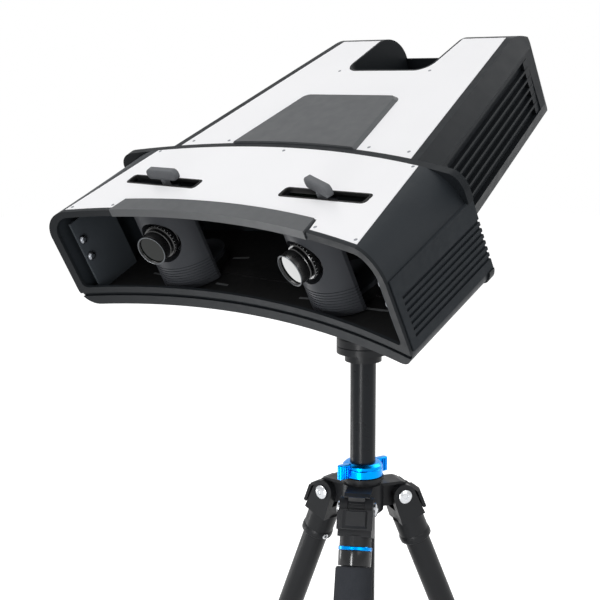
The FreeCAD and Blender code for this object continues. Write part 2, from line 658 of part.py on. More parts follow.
def rear_loft(body, kind, inset, start, end, roof="0"):
    """Tapered form of the rear body between two depths, shrunk by an inset and lowered at the roof."""
    near = draw(body, "XZ", f"-({start})", rear_section(start, inset, roof))
    far = draw(body, "XZ", f"-({end})", rear_section(end, inset, roof))
    loft(body, kind, near, far)


def rear_form(body):
    """Rear body's outer form: rounded corners in plan, and a rolled rear end."""
    rear_loft(body, "Additive", "0", "110", "430")
    corner = rear_half("waist_half", "(rear_end - rear_corner)") + " + 0.6"
    plan = mirrored([
        ("260", arc_at("flange_front + flange_deep", "260")), ("260", "rear_end - rear_corner"),
        (corner, "rear_end - rear_corner", "rear_corner"), (f"{corner} - rear_corner", "rear_end")],
        None, "-bow")
    keep_inside(body, "XY", plan)
    keep_inside(body, "YZ", rear_profile("0"))


def rear_profile(inset):
    """Side outline of the rear body, with the rolled end that turns over at the top and the heel."""
    end = f"rear_end - {inset}"
    return [("50", "-floor_drop - 9"), (f"{end} - heel_round", "-floor_drop - 9"),
            (f"{end} - heel_round", "-floor_drop", "heel_round"), (end, "-floor_drop + heel_round"),
            (end, "-rear_top - roll_round", "roll_round"), (f"{end} - roll_round", "-rear_top"),
            (f"{end} - roll_round", "50"), ("50", "50")]


def recess_plan(gap):
    """Plan of the handle recess: round front corners, open past the rear end."""
    half = f"recess_half + ({gap})"
    front = f"recess_front - ({gap})"
    bend = f"recess_round + ({gap})"
    return mirrored([(f"{half} - ({bend})", front, bend), (half, f"{front} + {bend}"), (half, "rear_end + 60")])


def cut_recess(body, gap):
    """Open the space that the handle recess fills."""
    cut(body, draw(body, "XY", f"-recess_floor - recess_wall - {gap}", recess_plan(f"recess_wall + {gap}")), "200")


def louvre_window(side, inner, outer, front, rear):
    """Plan of a strip that follows the tapered side of the rear body, measured from its waist."""
    def at(depth, offset):
        return f"{side}*({rear_half('waist_half', depth)} + ({offset}))"
    stops = [(at(front, inner), front), (at(front, outer), front), (at(rear, outer), rear), (at(rear, inner), rear)]
    return stops if side > 0 else list(reversed(stops))


def rear_cover():
    """Upper rear shell: louvre windows in its sides, seat of the white panel and room for the handle recess."""
    body = new_body("rear_cover")
    rear_form(body)
    rear_loft(body, "Subtractive", "shell_wall + louvre_deep", "100", "cavity_rear", "roof_thick")
    cut(body, draw(body, "XZ", 0, box("-900", "900", "-300", "-pan_split")), "1800", both=True)
    cut_recess(body, "fit_gap")
    for side in (-1, 1):
        window = louvre_window(side, "-louvre_deep", "20", "louvre_front", "louvre_rear")
        cut(body, draw(body, "XY", "-louvre_low", window), "louvre_low - louvre_top")
    cut(body, draw(body, "XY", "-rear_top - rear_panel_thick", rear_panel_plan("panel_gap", False)), "30")
    return body


def rear_panel_plan(gap, notched):
    """Plan of the rear white panel, with the handle notch where it is asked for."""
    def side(depth):
        return f"{rear_half('rear_panel_half', depth)} + {gap}"
    front = "flange_front + flange_deep"
    stops = [(side("rear_start"), arc_at(f"{front} + panel_gap - {gap}", side("rear_start"))),
             (side("rear_panel_end"), f"rear_panel_end + {gap}")]
    if not notched:
        return mirrored(stops, None, "-bow")
    half = "recess_half + recess_wall + panel_gap"
    edge = "recess_front - recess_wall - panel_gap"
    bend = "recess_round + recess_wall + panel_gap"
    stops += [(half, "rear_panel_end"), (half, f"{edge} + {bend}", f"-({bend})"), (f"{half} - ({bend})", edge)]
    return mirrored(stops, None, "-bow")


def rear_top_panel():
    """White cover plate of the rear body."""
    body = new_body("rear_top_panel")
    sketch = draw(body, "XY", "-rear_top - rear_panel_thick", rear_panel_plan("0", True))
    pad(body, sketch, "rear_panel_thick")
    return body


def raised_cover():
    """Low dark cover on the rear panel, with sloping edges and round rear corners."""
    body = new_body("raised_cover")

    def plan(inset):
        def side(depth):
            return f"{rear_half('badge_half', depth)} - {inset}"
        bend = f"badge_round - {inset}"
        rear = f"badge_rear - {inset}"
        front = f"flange_front + flange_deep + panel_gap + {inset}*0.2"
        turn = f"{rear} - ({bend})"
        return mirrored([(side("rear_start + 10"), arc_at(front, side("rear_start + 10"))),
                         (side(turn), turn, bend), (f"{side(turn)} - ({bend})", rear)], None, "-bow")
    low = draw(body, "XY", "-rear_top", plan("0"))
    high = draw(body, "XY", "-rear_top + badge_tall", plan("badge_edge"))
    loft(body, "Additive", low, high)
    return body


def rear_pan():
    """Lower rear shell: open tray with ports in its end wall and a pad for the mounting plate."""
    body = new_body("rear_pan")
    rear_form(body)
    rear_loft(body, "Subtractive", "shell_wall", "100", "cavity_rear", "shell_wall")
    cut(body, draw(body, "XZ", 0, box("-900", "900", "-pan_split", "60")), "1800", both=True)
    foot = box("-plate_wide/2 - 8", "plate_wide/2 + 8", "mount_back - plate_long/2 - 3", "mount_back + plate_long/2 + 8")
    pad(body, draw(body, "XY", "-floor_drop - pad_drop", foot), "pad_drop + 1")
    half = "inlet_wide/2"
    port = box(f"-{half} - port_step", f"{half} - port_step", "-port_drop - inlet_tall/2", "-port_drop + inlet_tall/2")
    cut(body, draw(body, "XZ", "-rear_end - 1", port), "inlet_deep + 1")
    for across in ("0", "port_step*0.7"):
        cylinder_cut(body, "XZ", "-rear_end - 1", across, "-port_drop", "socket_round + fit_gap", "6")
    hole = box("port_step*1.5 - switch_wide/2", "port_step*1.5 + switch_wide/2",
               "-port_drop - switch_tall/2", "-port_drop + switch_tall/2")
    cut(body, draw(body, "XZ", "-rear_end - 1", hole), "9")
    return body


def handle_recess():
    """Open-topped bucket between the rear lobes, with a low sloping bar at its rear to hold."""
    body = new_body("handle_recess")
    block = draw(body, "YZ", 0, [
        ("recess_front - recess_wall", "-recess_floor - recess_wall"), ("rear_end", "-recess_floor - recess_wall"),
        ("rear_end", "-rear_top - roll_round", "roll_round"), ("rear_end - roll_round", "-rear_top"),
        ("recess_front - recess_wall", "-rear_top")])
    pad(body, block, "2*recess_half + 2*recess_wall", both=True)
    keep_inside(body, "XY", recess_plan("recess_wall"))
    bottom = "rear_end - recess_bar_thick - recess_slope"
    bowl = mirrored([("recess_half - recess_round", "recess_front", "recess_round"),
                     ("recess_half", "recess_front + recess_round"), ("recess_half", bottom)])
    cut(body, draw(body, "XY", "-recess_floor", bowl), "200")
    slope = [(f"{bottom} - 40", "-recess_floor"), (bottom, "-recess_floor"),
             ("rear_end - recess_bar_thick", "-recess_bar"), ("rear_end + 40", "-recess_bar"),
             ("rear_end + 40", "60"), (f"{bottom} - 40", "60")]
    cut(body, draw(body, "YZ", 0, slope), "2*recess_half", both=True)
    return body


def louvre_grilles():
    """Plate with lengthwise fins in each side window, closed by a slanted stop at the rear."""
    members = []
    for side, name in ((-1, "left"), (1, "right")):
        body = doc.addObject("PartDesign::Body", f"louvre_{name}")
        low = "-louvre_low + fit_gap"
        tall = "louvre_low - louvre_top - 2*fit_gap"
        front, rear = "louvre_front + fit_gap", "louvre_rear - fit_gap"
        inner = "-louvre_deep + fit_gap"
        skin = f"{inner} + louvre_base"
        pad(body, draw(body, "XY", low, louvre_window(side, inner, skin, front, rear)), tall)
        step = f"({tall})/(fin_count + 1)"
        for index in range(round(number("fin_count"))):
            lift = f"{low} + {step}*{index + 1} - fin_thick/2"
            fin = louvre_window(side, f"{skin} - 1", f"{inner} + fin_proud", front, rear)
            pad(body, draw(body, "XY", lift, fin), "fin_thick")
        stop = louvre_window(side, f"{skin} - 1", "-1.5", f"{rear} - fin_stop", rear)
        pad(body, draw(body, "XY", low, stop), tall)
        members.append(body)
    return group("louvre_grilles", members)


def rear_sockets():
    """Two round data sockets in the rear end wall."""
    members = []
    back = "-rear_end"
    for across in ("0", "port_step*0.7"):
        socket = doc.addObject("PartDesign::Body", "data_socket")
        pad(socket, draw(socket, "XZ", back, [(across, "-port_drop", "socket_round")]), "5")
        cylinder_cut(socket, "XZ", back, across, "-port_drop", "socket_round - 2", "3")
        members.append(socket)
    return group("rear_sockets", members)


def power_switch():
    """Rocker in the rear end wall."""
    body = new_body("power_switch")
    wide, tall = "switch_wide - 1.6", "switch_tall - 0.4"
    rocker = box(f"-({wide})/2", f"({wide})/2", f"-({tall})/2", f"({tall})/2")
    pad(body, draw(body, "XZ", "-1.5", rocker), "5.5")
    pad(body, draw(body, "XY", "0", [("0", "0", "switch_pin")]), "switch_tall - 0.1", both=True)
    return body


# ---------------------------------------------------------------- inner parts
def projector_body():
    """Light engine standing on the floor of the pan, with a socket for its lens."""
    body = new_body("projector_body")
    block = box("-projector_half", "projector_half", "projector_front", "projector_rear")
    pad(body, draw(body, "XY", "-floor_drop + shell_wall", block), "floor_drop - shell_wall - projector_top")
    room = box("-projector_half + case_wall", "projector_half - case_wall", "projector_front + 2*case_wall",
               "projector_rear - case_wall")
    cut(body, draw(body, "XY", "-floor_drop + shell_wall - 1", room),
        "floor_drop - shell_wall - projector_top - case_wall + 1")
    return body


def projector_lens():
    """Stepped projection lens on the front face of the light engine."""
    body = new_body("projector_lens")
    spin(body, "XY", [
        ("0", "projector_front"), ("0", "beam_front + 3"), ("beam_round - 3", "beam_front + 3"),
        ("beam_round - 3", "beam_front"), ("beam_round", "beam_front"), ("beam_round", "beam_front + 12"),
        ("beam_round + 3", "beam_front + 14"), ("beam_round + 3", "projector_front")])
    return body


def projector_window():
    """Round glass in the flange's window."""
    body = new_body("projector_window")
    round_edge = [("0", "-beam_drop", "window_round - fit_gap")]
    pad(body, draw(body, "XZ", "-flange_front - flange_deep*0.7", round_edge), "window_thick")
    return body


def circuit_boards():
    """Main board and supply board, each on four posts on the floor of the pan."""
    members = []
    for side, name, rear in ((-1, "main", "board_rear"), (1, "supply", "board_front + 40")):
        body = doc.addObject("PartDesign::Body", f"{name}_board")
        inner, outer = f"{side}*board_inner", f"{side}*(board_inner + board_wide)"
        ends = (inner, outer) if side > 0 else (outer, inner)
        floor = "-floor_drop + shell_wall"
        pad(body, draw(body, "XY", f"{floor} + board_lift", box(*ends, "board_front", rear)), "board_thick")
        posts = [[(f"{end} + ({spot})", f"{edge}", "post_round")]
                 for end, spot in ((ends[0], "6"), (ends[1], "-6"))
                 for edge in ("board_front + 6", f"{rear} - 6")]
        pad(body, draw(body, "XY", floor, *posts), "board_lift + 0.5")
        members.append(body)
    return group("circuit_boards", members)


def fan_frame():
    """Square fan frame with a motor post held by three struts; the fan's axis is the frame's own X."""
    body = new_body("fan_frame")
    half = "fan_size/2"
    square = box(f"-{half}", half, f"-{half}", half)
    pad(body, draw(body, "YZ", "-fan_thick/2", square, [("0", "0", "fan_bore")]), "fan_thick")
    strut = box("-2", "2", "0", "fan_bore + 1")
    for turn in range(3):
        arm = draw(body, "YZ", "-fan_thick/2", turned_loop(strut, turn * 120))
        pad(body, arm, "2")
    pad(body, draw(body, "YZ", "-fan_thick/2", [("0", "0", "fan_hub - 3")]), "2")
    pad(body, draw(body, "YZ", "-fan_thick/2", [("0", "0", "pin_round")]), "fan_thick - 3")
    return body


def turned_loop(loop, angle):
    """A loop turned about the origin of its plane."""
    return [(f"({stop[0]})*cos({angle}) - ({stop[1]})*sin({angle})",
             f"({stop[0]})*sin({angle}) + ({stop[1]})*cos({angle})") for stop in loop]


def fan_rotor():
    """Hub with flat blades, turning on the frame's post."""
    body = new_body("fan_rotor")
    low = "-fan_thick/2 + 2.3"
    blade = box("-blade_thick/2", "blade_thick/2", "fan_hub - 1.5", "blade_tip")
    pad(body, draw(body, "YZ", low, [("0", "0", "fan_hub")]), "fan_thick - 3.3")
    for index in range(round(number("blade_count"))):
        turn = f"{index}*360/blade_count"
        pad(body, draw(body, "YZ", f"{low} + 1", turned_loop(blade, turn)), "fan_thick - 5.3")
    cylinder_cut(body, "YZ", f"{low} - 1", "0", "0", "pin_round + run_gap", "fan_thick - 3.5")
    return body


# ---------------------------------------------------------------- pan and tilt head
def mounting_plate():
    """Plate bolted under the scanner, held by the cradle."""
    body = new_body("mounting_plate")
    half_wide, half_long = "plate_wide/2", "plate_long/2"
    plate = box(f"-{half_wide}", half_wide, f"-{half_long}", half_long)
    pad(body, draw(body, "XY", "pin_drop - plate_thick", plate), "plate_thick")
    groove = box(f"-{half_wide} - 1", f"-{half_wide} + 3", f"-{half_long} - 1", f"{half_long} + 1")
    other = box(f"{half_wide} - 3", f"{half_wide} + 1", f"-{half_long} - 1", f"{half_long} + 1")
    cut(body, draw(body, "XY", "pin_drop - plate_thick + 2.5", groove, other), "3")
    return body


def tilt_cradle():
    """Barrel on the tilt pin, rising to the flat that carries the mounting plate."""
    body = new_body("tilt_cradle")
    half = "cradle_wide/2"
    pad(body, draw(body, "YZ", 0, [("0", "0", "cradle_round")]), "cradle_wide", both=True)
    neck = box(f"-{half}", half, "-cradle_round*0.8", "cradle_round*0.8")
    pad(body, draw(body, "XY", "4", neck), "pin_drop - plate_thick - 10")
    top = box("-plate_wide/2", "plate_wide/2", "-plate_long/2 + 4", "plate_long/2 - 4")
    pad(body, draw(body, "XY", "pin_drop - plate_thick - 8", top), "8")
    cylinder_cut(body, "YZ", "-90", "0", "0", "hinge_pin + run_gap", "180")
    return body


def pan_body():
    """Turntable with two ears, one each side of the cradle, and the pin across them."""
    body = new_body("pan_body")
    low = "-pan_lift - pan_tall"
    pad(body, draw(body, "XY", low, [("0", "0", "pan_round + 2")]), "pan_tall")
    half = "cradle_wide/2 + ear_gap"
    yoke = box(f"-{half} - ear_thick", f"{half} + ear_thick", "-cradle_round + 3", "cradle_round - 3")
    pad(body, draw(body, "XY", "-pan_lift - 8", yoke), "8")
    for side in (-1, 1):
        edge = f"{side}*({half})" if side > 0 else f"-({half}) - ear_thick"
        width = "cradle_round - 3"
        ear = [(f"-({width})", "-pan_lift - 1"), (width, "-pan_lift - 1"), (width, "0", width),
               ("0", width, width), (f"-({width})", "0")]
        pad(body, draw(body, "YZ", edge, ear), "ear_thick")
    pad(body, draw(body, "YZ", f"-({half}) - 3", [("0", "0", "hinge_pin")]), f"2*({half}) + 6")
    return body


def head_knob(label):
    """Lobed clamp knob on a short neck, drawn with its face at the far end of its own X."""
    body = new_body(label)
    pad(body, draw(body, "YZ", 0, [("0", "0", "neck_round")]), "knob_long/2 + 1")
    pad(body, draw(body, "YZ", "knob_long/2", [("0", "0", "knob_round")]), "knob_long/2")
    flute = [[(f"(knob_round + 1.5)*cos({60 * index})", f"(knob_round + 1.5)*sin({60 * index})", "4")]
             for index in range(6)]
    cut(body, draw(body, "YZ", "knob_long/2 - 1", *flute), "knob_long")
    return body


def head_base():
    """Bottom of the head and the column's top plate, two discs bolted together over the column's socket."""
    base = doc.addObject("PartDesign::Body", "base_disc")
    low = "-pan_lift - pan_tall - rest_gap"
    spin(base, "XZ", [
        ("0", f"{low} - base_tall"), ("base_round", f"{low} - base_tall"), ("base_round", f"{low} - base_tall + 8"),
        ("pan_round", f"{low} - base_tall + 12"), ("pan_round", low), ("0", low)])
    plate = doc.addObject("PartDesign::Body", "column_plate")
    top = f"{low} - base_tall"
    foot = f"{top} - disc_tall - socket_tall"
    roof = f"{foot} + socket_deep"
    spin(plate, "XZ", [
        ("0", top), ("0", roof), ("column_round + fit_gap", roof), ("column_round + fit_gap", foot),
        ("socket_out", foot), ("socket_out", f"{top} - disc_tall"), ("disc_round_top", f"{top} - disc_tall"),
        ("disc_round_top", f"{top} - 1"), ("disc_round_top - 1", top)])
    return group("head_base", [base, plate])


# ---------------------------------------------------------------- column and spider
def column():
    """Sliding column tube with a cap in its lower end."""
    tube = doc.addObject("PartDesign::Body", "column_tube")
    top = "collar_lift + column_show + socket_deep - rest_gap"
    low = f"{top} - column_long"
    spin(tube, "XZ", [("column_bore", low), ("column_round", low), ("column_round", top), ("column_bore", top)])
    cap = doc.addObject("PartDesign::Body", "column_end_cap")
    spin(cap, "XZ", [
        ("0", f"{low} - cap_tall"), ("column_round - 2", f"{low} - cap_tall"), ("column_round", f"{low} - cap_tall + 2"),
        ("column_round", low), ("column_bore - fit_gap", low), ("column_bore - fit_gap", f"{low} + 10"),
        ("0", f"{low} + 10")])
    return group("column", [tube, cap])


def lock_collar():
    """Blue clamp collar round the column, with two opposite finger wings."""
    body = new_body("lock_collar")
    bore = "column_round + run_gap"
    top = "collar_lift"
    low = "collar_lift - collar_tall"
    spin(body, "XZ", [
        (bore, low), ("collar_round - collar_slope", low), ("collar_round", f"{low} + collar_slope"),
        ("collar_round", f"{top} - collar_slope"), ("collar_round - collar_slope", top), (bore, top)])
    side, tip = "wing_wide/2", "wing_reach"
    wing = [("collar_round - 4", f"-{side}"), (f"{tip} - wing_round", f"-{side}", "wing_round"),
            (tip, f"-{side} + wing_round"), (tip, f"{side} - wing_round", "wing_round"),
            (f"{tip} - wing_round", side), ("collar_round - 4", side)]
    for turn in ("wing_turn", "wing_turn - 180"):
        pad(body, draw(body, "XY", low, turned_loop(wing, turn)), "collar_tall")
    return body


def spider():
    """Hub under the collar, with a lug for each leg between its ears and a sloping cap over them."""
    body = new_body("spider")
    top = "collar_lift - collar_tall - rest_gap"
    bore = "column_round + run_gap"
    spin(body, "XZ", [
        (bore, "-hub_low"), ("hub_round - 2", "-hub_low"), ("hub_round", "-hub_low + 2"),
        ("hub_round", "cap_top"), ("hub_round - 3", "cap_top"), ("hub_round - 3", f"{top} - hub_rim"),
        ("hub_round", f"{top} - hub_rim"), ("hub_round", top), (bore, top)])
    cap_low = "ear_round + rest_gap"
    web = box("hub_round - 6", "leg_offset + lug_round/2", "0", f"{cap_low} + 1")
    web = pad(body, draw(body, "XZ", 0, web), "2*lug_half", both=True)
    cap = [("hub_round - 6", cap_low), ("leg_offset + cap_reach", cap_low),
           ("leg_offset + cap_reach", f"{cap_low} + 1"), ("leg_offset - 2", "cap_top"), ("hub_round - 6", "cap_top")]
    cap = pad(body, draw(body, "XZ", 0, cap), "2*cap_half", both=True)
    lug = pad(body, draw(body, "XY", "-lug_round", box("hub_round - 6", "leg_offset", "-lug_half", "lug_half")),
              "2*lug_round")
    nose = pad(body, draw(body, "XZ", 0, [("leg_offset", "0", "lug_round")]), "2*lug_half", both=True)
    bore = cut(body, draw(body, "XZ", 0, [("leg_offset", "0", "leg_bolt + run_gap")]), "2*lug_half + 8", both=True)
    ring = body.newObject("PartDesign::PolarPattern", "spider_arms")
    ring.Originals = [web, cap, lug, nose, bore]
    ring.Axis = (next(item for item in body.Origin.OriginFeatures if item.Role == "Z_Axis"), [""])
    ring.Angle = 360
    ring.Occurrences = 3
    body.Tip = ring
    body.Placement = PLACE(POINT(), TURN(UP, number("leg_turn")))
    return body


# ---------------------------------------------------------------- legs
def leg_casting(label):
    """Top casting with two ears round the spider's lug, and the upper leg tube in its socket."""
    casting = doc.addObject("PartDesign::Body", label + "_casting")
    inner = "lug_half + rest_gap"
    block = [("-ear_round", "0"), ("-casting_deep", "-casting_shoulder"), ("casting_deep", "-casting_shoulder"),
             ("ear_round", "0", "ear_round"), ("0", "ear_round", "ear_round")]
    pad(casting, draw(casting, "YZ", 0, block), "2*ear_half", both=True)
    slot = box(f"-({inner})", inner, "-casting_top - 1", "90")
    cut(casting, draw(casting, "XZ", 0, slot), "200", both=True)
    neck = [(f"-casting_round", "0", "casting_round"), ("0", "-casting_round", "casting_round"),
            ("casting_round", "0", "casting_round"), ("0", "casting_round", "casting_round")]
    pad(casting, draw(casting, "XY", "-casting_end", neck), "casting_end - casting_shoulder + 1")
    cylinder_cut(casting, "YZ", "-90", "0", "0", "leg_bolt + run_gap", "180")
    cylinder_cut(casting, "XY", "-casting_end - 1", "0", "0", "tube_round + fit_gap", "tube_lap + 1")
    tube = doc.addObject("PartDesign::Body", label + "_tube")
    pad(tube, draw(tube, "XY", "-tube_end", [("0", "0", "tube_round")], [("0", "0", "tube_bore")]),
        "tube_end - casting_end + tube_lap - rest_gap")
    return group(label, [casting, tube])


def angle_tab(label):
    """Spring-loaded stop tab on the outward face of the casting, pulled out to let the leg spread."""
    body = new_body(label)
    half = "tab_wide/2"
    face = "-casting_deep - rest_gap"
    plate = box(f"-{half}", half, f"{face} - tab_thick", face)
    pad(body, draw(body, "XY", "-tab_top - tab_long", plate), "tab_long")
    outside = "casting_deep + rest_gap + tab_thick"
    foot = box("-tab_wide*0.36", "tab_wide*0.36", "-tab_top - tab_long + 1", "-tab_top - 1")
    crown = box("-tab_wide*0.24", "tab_wide*0.3", "-tab_top - tab_long + 4", "-tab_top - 2")
    loft(body, "Additive", draw(body, "XZ", f"{outside} - 0.5", foot), draw(body, "XZ", f"{outside} + tab_boss", crown))
    return body


def twist_lock(label):
    """Ribbed clamp sleeve at the lower end of the upper tube."""
    body = new_body(label)
    start = "-lock_from"
    end = "-lock_from - lock_long"
    spin(body, "XZ", [
        ("tube_round + run_gap", start), ("tube_round + run_gap", "-tube_end - rest_gap"),
        ("lower_round + run_gap", "-tube_end - rest_gap"), ("lower_round + run_gap", end),
        ("lock_round - 2.5", end), ("lock_round", f"{end} + 3"), ("lock_round", f"{start} - 3"),
        ("lock_round - 1.5", start)])
    return body


def lower_leg(label):
    """Inner leg tube with its round rubber foot, cut flat where it stands on the floor."""
    tube = doc.addObject("PartDesign::Body", label + "_tube")
    end = "-leg_length + foot_neck - foot_round"
    spin(tube, "XZ", [("lower_bore", end), ("lower_round", end), ("lower_round", "-lower_top"), ("lower_bore", "-lower_top")])
    foot = doc.addObject("PartDesign::Body", label + "_foot")
    top = "-leg_length + foot_neck"
    spin(foot, "XZ", [
        ("0", "-leg_length - foot_round", "foot_round"), ("foot_round", "-leg_length"), ("foot_round", f"{top} - 1"),
        ("foot_round - 1", top), ("lower_round + fit_gap", top), ("lower_round + fit_gap", f"{end} - rest_gap"),
        ("0", f"{end} - rest_gap")])

    def below(down, along):
        return (f"({down})*sin(leg_splay) + ({along})*cos(leg_splay)",
                f"-leg_length - ({down})*cos(leg_splay) + ({along})*sin(leg_splay)")
    sole, deep = "foot_round - foot_flat", "foot_round*2"
    ground = [below(deep, "-foot_round*2"), below(deep, "foot_round*2"),
              below(sole, "foot_round*2"), below(sole, "-foot_round*2")]
    cut(foot, draw(foot, "YZ", 0, ground), "4*foot_round", both=True)
    return group(label, [tube, foot])


def foam_grip():
    """Foam sleeve on the front leg, under a black collar with a blue band."""
    members = []
    start = "casting_end + rest_gap"
    rings = (("band", "0", "grip_band - 0.3", "grip_collar_round + 0.4"),
             ("collar", "grip_band", "grip_collar_long - 0.3", "grip_collar_round"),
             ("foam", "grip_band + grip_collar_long", "foam_long", "foam_round"))
    for name, offset, long, radius in rings:
        ring = doc.addObject("PartDesign::Body", "grip_" + name)
        high = f"-({start}) - ({offset})"
        spin(ring, "XZ", [
            ("tube_round + fit_gap", f"{high} - ({long})"), (f"{radius} - 0.8", f"{high} - ({long})"),
            (radius, f"{high} - ({long}) + 0.8"), (radius, f"{high} - 0.8"), (f"{radius} - 0.8", high),
            ("tube_round + fit_gap", high)])
        members.append(ring)
    return group("foam_grip", members)


def leg_bolts():
    """Pivot bolt of each leg: a shank through the lug and ears, with a round head at each end."""
    members = []
    for index in range(3):
        bolt = doc.addObject("PartDesign::Body", "leg_bolt")
        pad(bolt, draw(bolt, "YZ", 0, [("0", "0", "leg_bolt")]), "2*ear_half + 1", both=True)
        for side in (-1, 1):
            start = "ear_half + fit_gap" if side > 0 else "-ear_half - fit_gap - leg_bolt_cap"
            pad(bolt, draw(bolt, "YZ", start, [("0", "0", "leg_bolt_head")]), "leg_bolt_cap")
        bolt.Placement = leg_place(index, 0)
        members.append(bolt)
    return group("leg_bolts", members)


# ---------------------------------------------------------------- where the pieces stand
def pivot_height():
    """Height of the leg pivots over the floor, from the leg's length and splay."""
    return number("leg_length*cos(leg_splay) + foot_round - foot_flat")


def head_place():
    """The tilt pin's frame over the column, level."""
    lift = number("collar_lift + column_show + socket_tall + disc_tall + base_tall + rest_gap + pan_tall + pan_lift")
    return PLACE(POINT(0, 0, pivot_height() + lift), TURN())


def scanner_place():
    """The scanner's level frame, tipped nose down about the tilt pin."""
    tip = PLACE(POINT(), TURN(ACROSS, number("pitch")))
    drop = POINT(0, -number("mount_back"), number("floor_drop + pad_drop + pin_drop"))
    return head_place() * tip * PLACE(drop, TURN())


def turret_place(side):
    """A camera turret's own frame: its stem's axis in the slot, turned in towards the middle."""
    spot = POINT(side * number("stem_side"), number("stem_back"), 0)
    return scanner_place() * PLACE(spot, TURN(UP, -side * number("toe_in")))


def lever_place(side):
    """The lever's frame on the turret's stem, turned in its slot as it was left."""
    spot = POINT(side * number("stem_side"), number("stem_back"), 0)
    turn = number("right_lever_turn") if side > 0 else number("left_lever_turn")
    return scanner_place() * PLACE(spot, TURN(UP, turn))


def leg_place(index, splay):
    """A leg's frame at its pivot: own X along the pin, own -Y outward, splayed by an angle."""
    turn = number("leg_turn") + 120 * index
    out = POINT(math.cos(math.radians(turn)), math.sin(math.radians(turn)), 0) * number("leg_offset")
    return PLACE(out, TURN(UP, turn + 90)) * PLACE(POINT(), TURN(ACROSS, -splay))


def on_spider(place):
    """A frame measured from the height of the leg pivots."""
    return PLACE(POINT(0, 0, pivot_height()), TURN()) * place


def build():
    """Make every piece and stand it where it belongs."""
    level = scanner_place()
    for made in (front_shell("front_shell_upper", True), front_shell("front_shell_lower", False), front_rim(),
                 rear_flange(), front_top_panel(), brow_strip(), side_grips(), camera_tray(), end_brackets(),
                 rear_cover(), rear_pan(), rear_top_panel(), raised_cover(), louvre_grilles(), handle_recess(),
                 rear_sockets(), projector_body(), projector_window(), circuit_boards()):
        made.Placement = level
    projector_lens().Placement = level * PLACE(POINT(0, 0, -number("beam_drop")), TURN())
    switch_spot = POINT(number("port_step*1.5"), number("rear_end"), -number("port_drop"))
    power_switch().Placement = level * PLACE(switch_spot, TURN(UP, number("switch_tilt")))
    fan_height = number("-floor_drop + shell_wall + fan_size/2")
    fan = level * PLACE(POINT(number("fan_side"), number("fan_back"), fan_height), TURN(UP, number("body_taper")))
    fan_frame().Placement = fan
    fan_rotor().Placement = fan
    for side, name in ((-1, "left"), (1, "right")):
        spot = turret_place(side)
        upright = spot * PLACE(POINT(), TURN(UP, side * number("toe_in")))
        lens = spot * PLACE(POINT(0, 0, -number("lens_drop")), TURN())
        camera_carriage("camera_carriage_" + name).Placement = upright
        camera_turret("camera_turret_" + name).Placement = spot
        camera_unit("camera_" + name).Placement = spot
        lens_ring("iris_ring_" + name, "iris_from", "iris_long", "iris_round").Placement = lens
        lens_ring("focus_ring_" + name, "focus_from", "focus_long", "focus_round").Placement = lens
        filter_ring("filter_ring_" + name).Placement = lens
        slide_lever("slide_lever_" + name).Placement = lever_place(side)

    pin = head_place()
    tipped = pin * PLACE(POINT(), TURN(ACROSS, number("pitch")))
    mounting_plate().Placement = tipped
    tilt_cradle().Placement = tipped
    pan_body().Placement = pin
    side_face = number("cradle_wide/2 + ear_gap + ear_thick + rest_gap")
    head_knob("tilt_knob").Placement = pin * PLACE(POINT(-side_face, 0, 0), TURN(UP, 180))
    knob_drop = number("-pan_lift - pan_knob_lift")
    knob_out = number("pan_round + 2 + rest_gap")
    head_knob("pan_knob").Placement = pin * PLACE(POINT(0, knob_out, knob_drop), TURN(UP, 90))
    head_base().Placement = pin

    for made in (column(), lock_collar(), spider(), leg_bolts()):
        made.Placement = on_spider(made.Placement)
    for index in range(3):
        spot = on_spider(leg_place(index, number("leg_splay")))
        for maker, kind in ((leg_casting, "leg"), (angle_tab, "angle_tab"), (twist_lock, "twist_lock"),
                            (lower_leg, "lower_leg")):
            maker(f"{kind}_{index + 1}").Placement = spot
        if index == 0:
            foam_grip().Placement = spot


def centre_over_floor():
    """Move the whole object so that its origin lies on the floor under the middle of its outer box."""
    boxes = [piece.Shape.optimalBoundingBox() for piece in pieces]
    across = (min(item.XMin for item in boxes) + max(item.XMax for item in boxes)) / 2
    along = (min(item.YMin for item in boxes) + max(item.YMax for item in boxes)) / 2
    for piece in pieces:
        piece.Placement = PLACE(POINT(-across, -along, 0), TURN()) * piece.Placement
    return POINT(-across, -along, 0)


build()
doc.recompute()
shift = centre_over_floor()
doc.recompute()

for item in doc.Objects:
    if "Invalid" in item.State or "Error" in item.State:
        raise RuntimeError(f"{item.Label} failed: {item.State}")
for piece in pieces:
    if piece.Shape.isNull() or not piece.Shape.isValid() or not piece.Shape.Solids:
        raise RuntimeError(f"{piece.Label} has no valid solid")

os.makedirs("parts", exist_ok=True)
for piece in pieces:
    piece.Shape.exportStep(f"parts/{piece.Label}.step")
print(len(pieces), "pieces, moved by", shift)
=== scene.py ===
"""A desktop 3D scanner on its tripod: the looks of the part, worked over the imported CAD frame. Units are metres."""

import math

import bmesh
import bpy
import numpy as np
from mathutils import Matrix, Vector


